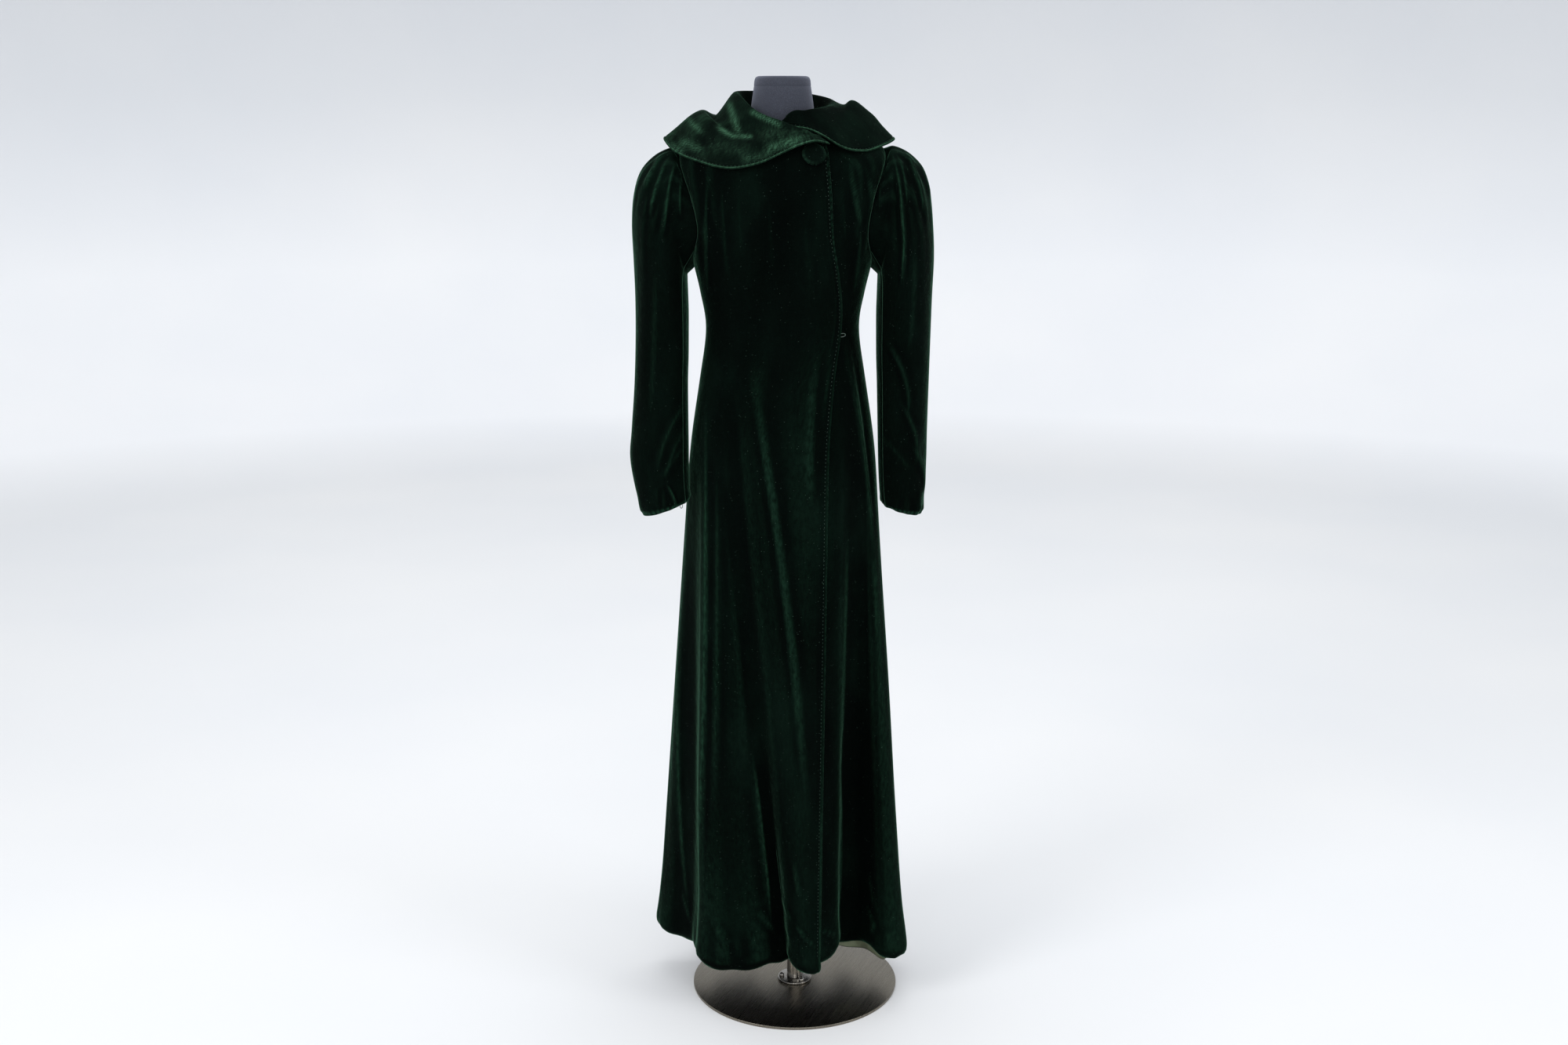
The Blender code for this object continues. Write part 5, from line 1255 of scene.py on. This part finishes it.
# Painted highlights: pale strokes laid where the brushed pile catches the light, as seen from the front:
# distance from the coat's axis and z at both ends, half width, strength
HIGHLIGHT_STROKES = [
    (-0.084, 1.527, -0.068, 1.480, 0.0052, 0.66), (-0.052, 1.514, 0.001, 1.490, 0.0040, 0.66),
    (-0.101, 1.488, -0.080, 1.475, 0.0038, 0.80), (-0.080, 1.475, -0.046, 1.474, 0.0034, 0.66),
    (-0.030, 1.480, 0.022, 1.474, 0.0110, 0.16), (-0.110, 1.462, -0.050, 1.452, 0.0090, 0.12),
    (-0.025, 1.455, 0.030, 1.471, 0.0066, 0.50), (-0.158, 1.466, -0.129, 1.455, 0.0066, 0.40),
    (-0.147, 1.498, -0.128, 1.482, 0.0050, 0.45), (-0.176, 1.462, -0.158, 1.452, 0.0045, 0.36),
    (-0.060, 1.440, -0.020, 1.448, 0.0060, 0.22), (0.130, 1.508, 0.154, 1.484, 0.0050, 0.03),
]

# The collar's copy of the velvet has a paler painted highlight colour and less sheen.
velvet_collar = velvet_material("green velvet, collar", 0.17, (0.072, 0.194, 0.110))


def upward(grid):
    """Unit normals of the collar's grid, on the side that faces up at its outer edge."""
    normal = unit(np.cross(np.gradient(grid, axis=1), np.gradient(grid, axis=0)))
    return -normal if normal[-1, :, 2].sum() < 0 else normal


rising = [(-row[0],) + row[1:] for row in COLLAR]
angles = np.linspace(COLLAR[0][0], COLLAR[-1][0], COLLAR_COLUMNS + 1)
seam_normal = unit(np.cross(body(angles + 1.0, NECK) - body(angles - 1.0, NECK),
                            body(angles, NECK + 0.05) - body(angles, NECK)))
if seam_normal[:, 2].sum() < 0:
    seam_normal = -seam_normal
neck_width = float(right_start(NECK)) + 90.0
on_right = (angles > -90.0) * lap_lift(NECK, (float(right_start(NECK)) - angles) / neck_width)
seam_out = from_axis(body(angles, NECK))
seam = body(angles, NECK) + seam_normal * on_right[:, None]
over_edge = blend(COLLAR_OVER_FROM, COLLAR_OVER_FULL, angles)[:, None]
stood_in = np.array([0.0, 0.0, COLLAR_SEAM_RISE]) - seam_out * COLLAR_SEAM_INSET
seam += stood_in * (1.0 - over_edge) + seam_normal * (WALL + 3 * GAP) * over_edge
spots = [seam]
turn = np.radians(angles)
for k in range(4):
    radius = smooth(rising, 1 + 2 * k, -angles)
    height = smooth(rising, 2 + 2 * k, -angles)
    spots.append(np.stack([COAT_X + radius * np.sin(turn), -radius * np.cos(turn), height], axis=-1))
down_collar = np.linspace(0.0, 4.0, COLLAR_ROWS + 1)
down_collar = np.unique(np.concatenate([down_collar, np.linspace(3.55, 4.0, 25)]))
collar = lofted(np.array(spots), down_collar)
collar_normal = upward(collar)
width_down = along(collar, 0)
width_all = width_down[-1:]
share_down = width_down / width_all
arc = along(collar[-1], 0)[None, :]
rise = np.zeros(share_down.shape)
for a0, s0, a1, s1, width, height, before, behind in COLLAR_CREASES:
    start, end = np.interp(-a0, -angles, arc[0]), np.interp(-a1, -angles, arc[0])
    ax, ay = end - start, (s1 - s0) * COLLAR_WIDE
    px, py = arc - start, (share_down - s0) * COLLAR_WIDE
    long = math.hypot(ax, ay)
    t = np.clip((px * ax + py * ay) / long**2, -0.2, 1.2)
    away = (px * ay - py * ax) / long
    ends = span(-0.15, 0.3, 0.7, 1.15, t)
    rise += height * ends * hump(away * np.where(away > 0, before, behind), width)
free = blend(0.25, 0.6, share_down)
rise += free * ripple(arc, width_down, 83, *COLLAR_WAVES)
rise *= blend(0.0, 0.25, share_down) * blend(0.0, 0.02, np.linspace(0, 1, len(angles)))
collar = collar + collar_normal * rise[..., None]
collar_normal = upward(collar)
# How far in a point lies from the collar's outer edge or from the front end of its right half
lip = np.minimum(width_all - width_down, np.where(share_down > 0.15, arc, 1.0))
bead = hump(lip - CORD_IN, CORD_WIDE) - 0.75 * hump(lip - CORD_GROOVE_IN, CORD_GROOVE_WIDE)
bead = bead + 0.35 * hump(lip - CORD_ROLL_IN, CORD_ROLL_WIDE)
fine = 0.85 + 0.15 * np.sin(arc * 2 * math.pi / CORD_PITCH)
collar_top = collar + collar_normal * (WALL + CORD_RISE * bead * fine)[..., None]
collar_under = collar - collar_normal * (0.0005 * hump(lip - CORD_IN, 0.0014))[..., None]
# Painted highlights on the collar: on its ridges, stronger over the right half, a faint even lift over that
# half's front, and a thin line along the corded edge; then the painted highlight strokes, only where the
# collar faces the front.
painted_highlight_and_dark_edge = np.maximum(crest(collar_top, collar_normal, COLLAR_CREST), 0.0)
painted_highlight_and_dark_edge = painted_highlight_and_dark_edge * (0.03 + 0.10 * blend(-210.0, -120.0, angles)) + 0.55 * hump(lip - 0.0010, 0.0008)
painted_highlight_and_dark_edge = painted_highlight_and_dark_edge + 0.012 * blend(-115.0, -95.0, angles)
highlight_stroke = np.zeros(painted_highlight_and_dark_edge.shape)
seen_x, seen_z = collar[..., 0] - COAT_X, collar[..., 2]
for x0, z0, x1, z1, wide, strength in HIGHLIGHT_STROKES:
    long = math.hypot(x1 - x0, z1 - z0)
    t = ((seen_x - x0) * (x1 - x0) + (seen_z - z0) * (z1 - z0)) / long**2
    beyond = np.maximum(np.abs(t - 0.5) - 0.35, 0.0) * long
    away = ((seen_x - x0) * (z1 - z0) - (seen_z - z0) * (x1 - x0)) / long
    highlight_stroke += strength * np.exp(-(away / wide) ** 2 - (beyond / (1.4 * wide)) ** 2)
highlight_stroke *= blend(-0.2, 0.2, -collar_normal[..., 1]) * blend(0.0, 0.02, -collar[..., 1] + 0.03)
crossing = np.sin(width_down * 420.0 + arc * 130.0)
streak = 0.55 + 0.45 * np.sin(arc * 900.0 + 6.0 * np.sin(width_down * 260.0)) * crossing
painted_highlight_and_dark_edge = np.clip(painted_highlight_and_dark_edge + highlight_stroke * streak, -1.0, 1.0)
collar_piece = shell("collar_velvet", collar_under, collar_top, (1, 2, 3), velvet_collar, painted_highlight_and_dark_edge)
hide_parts("collar")
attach(collar_piece, "root")

# The button: a large wooden mould covered in the coat's velvet, the cover gathered in behind. It
# is sewn near the right front's corner, its top half under the collar's edge.
BUTTON = [(0.0040, 0.0001), (0.0110, 0.0001), (0.0171, 0.0003), (0.0184, 0.0011), (0.0190, 0.0022),
          (0.0188, 0.0033), (0.0179, 0.0044), (0.0160, 0.0053), (0.0133, 0.0059), (0.0095, 0.0062),
          (0.0057, 0.0064), (0.0020, 0.0065)]
BUTTON_SEAT, BUTTON_RING, BUTTON_X = 0.0006, 1.25, 0.0480
BUTTON_R = 0.019


def surface(ring, x, lift):
    """A place on the outer face of a front that is lifted so far, and the way out from it."""
    angle = float(np.degrees(np.arcsin(x / smooth(RING_TABLE, 1, ring))))
    across = body(angle + 1.0, ring) - body(angle - 1.0, ring)
    down = body(angle, ring + 0.05) - body(angle, ring - 0.05)
    way = unit(np.cross(across, down))
    if way[1] > 0:
        way = -way
    return body(angle, ring) + way * (float(lift) + WALL), way


velvet_button = velvet_material("green velvet, button", 0.36, (0.020, 0.060, 0.036))
button = turned("button_velvet", BUTTON, velvet_button, 96)
points = np.array([v.co for v in button.data.vertices])
turn = np.arctan2(points[:, 1], points[:, 0])
radius = np.hypot(points[:, 0], points[:, 1])
pucker = 0.6 * np.sin(turn * 17.0 + 0.8 * np.sin(turn * 3.0)) + 0.4 * np.sin(turn * 29.0)
pucker = blend(0.010, 0.018, radius) * pucker
points[:, 2] += 0.00022 * pucker * (points[:, 2] > 0.002)
place, way = surface(BUTTON_RING, BUTTON_X, lap_lift(BUTTON_RING, 0.0))
turning = Vector(way).to_track_quat("Z", "Y").to_matrix()
points = points @ np.array(turning).T + place + way * (BUTTON_SEAT + 0.0004)
button.data.vertices.foreach_set("co", points.astype(np.float32).ravel())
button.data.update()
rim_light = 0.04 + 0.42 * hump(radius - 0.0172, 0.0016) * (0.55 + 0.45 * np.sin(turn * 2.0 + 0.6))
mark_cloth(button.data, np.stack([turn * BUTTON_R, radius], axis=-1), rim_light)
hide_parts("button")
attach(button, "root")

# The thread loops: one at the waist beside the lap's edge and one at the right cuff, each a few
# strands of silk wound all round with finer thread.
LOOP_WIRE_R, LOOP_STEPS, LOOP_SQUARENESS = 0.00045, 24, 0.6
LOOP_RING, LOOP_X = 7.05, (0.0915, 0.0985)
LOOP_HALF, LOOP_RISE = 0.0026, 0.0018
CUFF_LOOP_AT, CUFF_LOOP_LENGTH = 0.37, 0.0050
WIND_PITCH, WIND_R = 0.00042, 0.00024


def silk(name, colour, roughness, scale, dark, pale, sheen=0.0, twist=0.0):
    """Silk thread: fine plies of a dark and a pale green, with a twist where it is seen close."""
    material, shader, add, join = material_nodes(name, colour, roughness, Sheen_Weight=sheen)
    ply = noise(add, add("ShaderNodeTexCoord").outputs["Object"], scale, 2.0)
    join(ramp(add, ply, (0.3, dark), (0.7, pale)), shader, "Base Color")
    if twist:
        join(bump(add, ply, twist, 0.0001), shader, "Normal")
    return material


thread = silk("pale green silk thread", (0.16, 0.27, 0.20), 0.55, 1800.0, (0.016, 0.038, 0.027),
              (0.055, 0.100, 0.076), sheen=0.3, twist=0.4)


def loop_spine(start, along_way, across_way, up_way, length, half, rise):
    """A small loop: out from its start, round, and back beside it, a little raised."""
    spine = []
    for k in range(LOOP_STEPS + 1):
        turn = math.pi * k / LOOP_STEPS
        out = length * math.sin(turn) ** LOOP_SQUARENESS if 0 < k < LOOP_STEPS else 0.0
        spine.append(start + along_way * out + across_way * half * math.cos(turn) + up_way * rise)
    return spine


def line_mesh(name, *lines):
    """A mesh of bare edges along one or more rows of points."""
    points, edges = [], []
    for row in lines:
        edges += [(len(points) + k, len(points) + k + 1) for k in range(len(row) - 1)]
        points += [tuple(p) for p in row]
    mesh = bpy.data.meshes.new(name)
    mesh.from_pydata(points, edges, [])
    return mesh


def spots_along(add, given):
    """A tree's own line as a curve, and places along it a pitch apart."""
    path = add("GeometryNodeMeshToCurve", Mesh=given["Geometry"])
    spaced = add("GeometryNodeResampleCurve", mode="LENGTH", Curve=path, Length=given["Pitch"])
    return path, add("GeometryNodeCurveToPoints", mode="EVALUATED", Curve=spaced)


tree, add, join, given, close = new_tree(
    "thread wound round a loop", ("Core", "Float", 0.0006), ("Pitch", "Float", 0.0004),
    ("Winding", "Float", 0.0002), ("Finish", "Material", None))
path, spots_on = spots_along(add, given)
ring_path = add("GeometryNodeCurvePrimitiveCircle", Resolution=12, Radius=given["Core"])
strand = add("GeometryNodeCurvePrimitiveCircle", Resolution=5, Radius=given["Winding"])
ring_body = add("GeometryNodeCurveToMesh", Curve=ring_path, Profile_Curve=strand)
copies = add("GeometryNodeInstanceOnPoints", Points=spots_on, Instance=ring_body,
             Rotation=spots_on.outputs["Rotation"])
core_circle = add("GeometryNodeCurvePrimitiveCircle", Resolution=8, Radius=given["Core"])
core_body = add("GeometryNodeCurveToMesh", Curve=path, Profile_Curve=core_circle, Fill_Caps=True)
both = add("GeometryNodeJoinGeometry", Geometry=copies)
join(core_body, both, "Geometry")
close(both)
wound = {"Core": LOOP_WIRE_R - 0.0001, "Pitch": WIND_PITCH, "Winding": WIND_R, "Finish": thread}

first, way = surface(LOOP_RING, LOOP_X[0], 0.0)
last_place, _ = surface(LOOP_RING, LOOP_X[1], 0.0)
reach = last_place - first
waist_line = loop_spine(first, unit(reach), np.array([0.0, 0.0, 1.0]), way,
                        float(np.linalg.norm(reach)), LOOP_HALF, LOOP_RISE)
waist_loop = grown("waist_loop_thread", tree, wound, line_mesh("waist_line", waist_line))

cuff_share = CUFF_LOOP_AT + np.array([-0.017, 0.0, 0.017])
cuff = sleeve(-1, RIGHT_SLEEVE, cuff_share, np.array([11.0, 12.0]))
down = unit(cuff[-1, 1] - cuff[-2, 1])
across_cuff = unit(cuff[-1, 2] - cuff[-1, 0])
out_of_cuff = np.cross(down, across_cuff)
if out_of_cuff[1] > 0:
    out_of_cuff = -out_of_cuff
cuff_line = loop_spine(cuff[-1, 1] + down * (LOOP_WIRE_R + GAP), down, across_cuff, out_of_cuff,
                       CUFF_LOOP_LENGTH, LOOP_HALF, -WALL)
cuff_loop = grown("cuff_loop_thread", tree, wound, line_mesh("cuff_line", cuff_line))
for thing, node in ((waist_loop, "waist_loop"), (cuff_loop, "cuff_loop")):
    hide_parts(node)
    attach(thing, "root")

# The edge stitches: small prick stitches in green silk that hold the turned edge of the right
# front and the cord in the collar's edge, a few millimetres in from each.
STITCH_LONG, STITCH_R, STITCH_PITCH = 0.0019, 0.00028, 0.0062
FRONT_STITCH_IN, COLLAR_STITCH_IN = 0.0050, 0.0042

dark_thread = silk("dark green silk thread", (0.012, 0.045, 0.026), 0.5, 1500.0,
                   (0.006, 0.024, 0.014), (0.022, 0.075, 0.045))

tree, add, join, given, close = new_tree(
    "prick stitches along a line", ("Pitch", "Float", 0.006), ("Length", "Float", 0.002),
    ("Radius", "Float", 0.0003), ("Finish", "Material", None))
path, spots_on = spots_along(add, given)
blob = add("GeometryNodeMeshUVSphere", Segments=6, Rings=5, Radius=0.5)
sizes = add("ShaderNodeCombineXYZ", X=given["Radius"], Y=given["Radius"], Z=given["Length"])
stitch = add("GeometryNodeTransform", Geometry=blob, Scale=sizes)
close(add("GeometryNodeInstanceOnPoints", Points=spots_on, Instance=stitch,
          Rotation=spots_on.outputs["Rotation"]))


def inset_line(grid, normal, distance, lift):
    """A row of points along a grid's first column, moved a distance in over its face."""
    arc = along(grid, 1)
    row = []
    for i in range(len(grid)):
        j = int(np.searchsorted(arc[i], distance))
        t = (distance - arc[i, j - 1]) / (arc[i, j] - arc[i, j - 1])
        row.append(grid[i, j - 1] * (1 - t) + grid[i, j] * t + normal[i, j] * lift)
    return row


STITCH_SINK = STITCH_R * 0.2
front_line = inset_line(right_out[6:-6], right_normal[6:-6], FRONT_STITCH_IN, STITCH_SINK)
turned_collar = collar_top[::-1].transpose(1, 0, 2)
turned_normal = collar_normal[::-1].transpose(1, 0, 2)
collar_line = inset_line(turned_collar[14:-10], turned_normal[14:-10], COLLAR_STITCH_IN, STITCH_SINK)
stitched = {"Pitch": STITCH_PITCH, "Length": STITCH_LONG, "Radius": STITCH_R * 2,
            "Finish": dark_thread}
front_stitches = grown("front_edge_stitches", tree, stitched, line_mesh("front_line", front_line))
collar_stitches = grown("collar_edge_stitches", tree, stitched,
                        line_mesh("collar_line", collar_line))
for thing in (front_stitches, collar_stitches):
    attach(thing, "root")
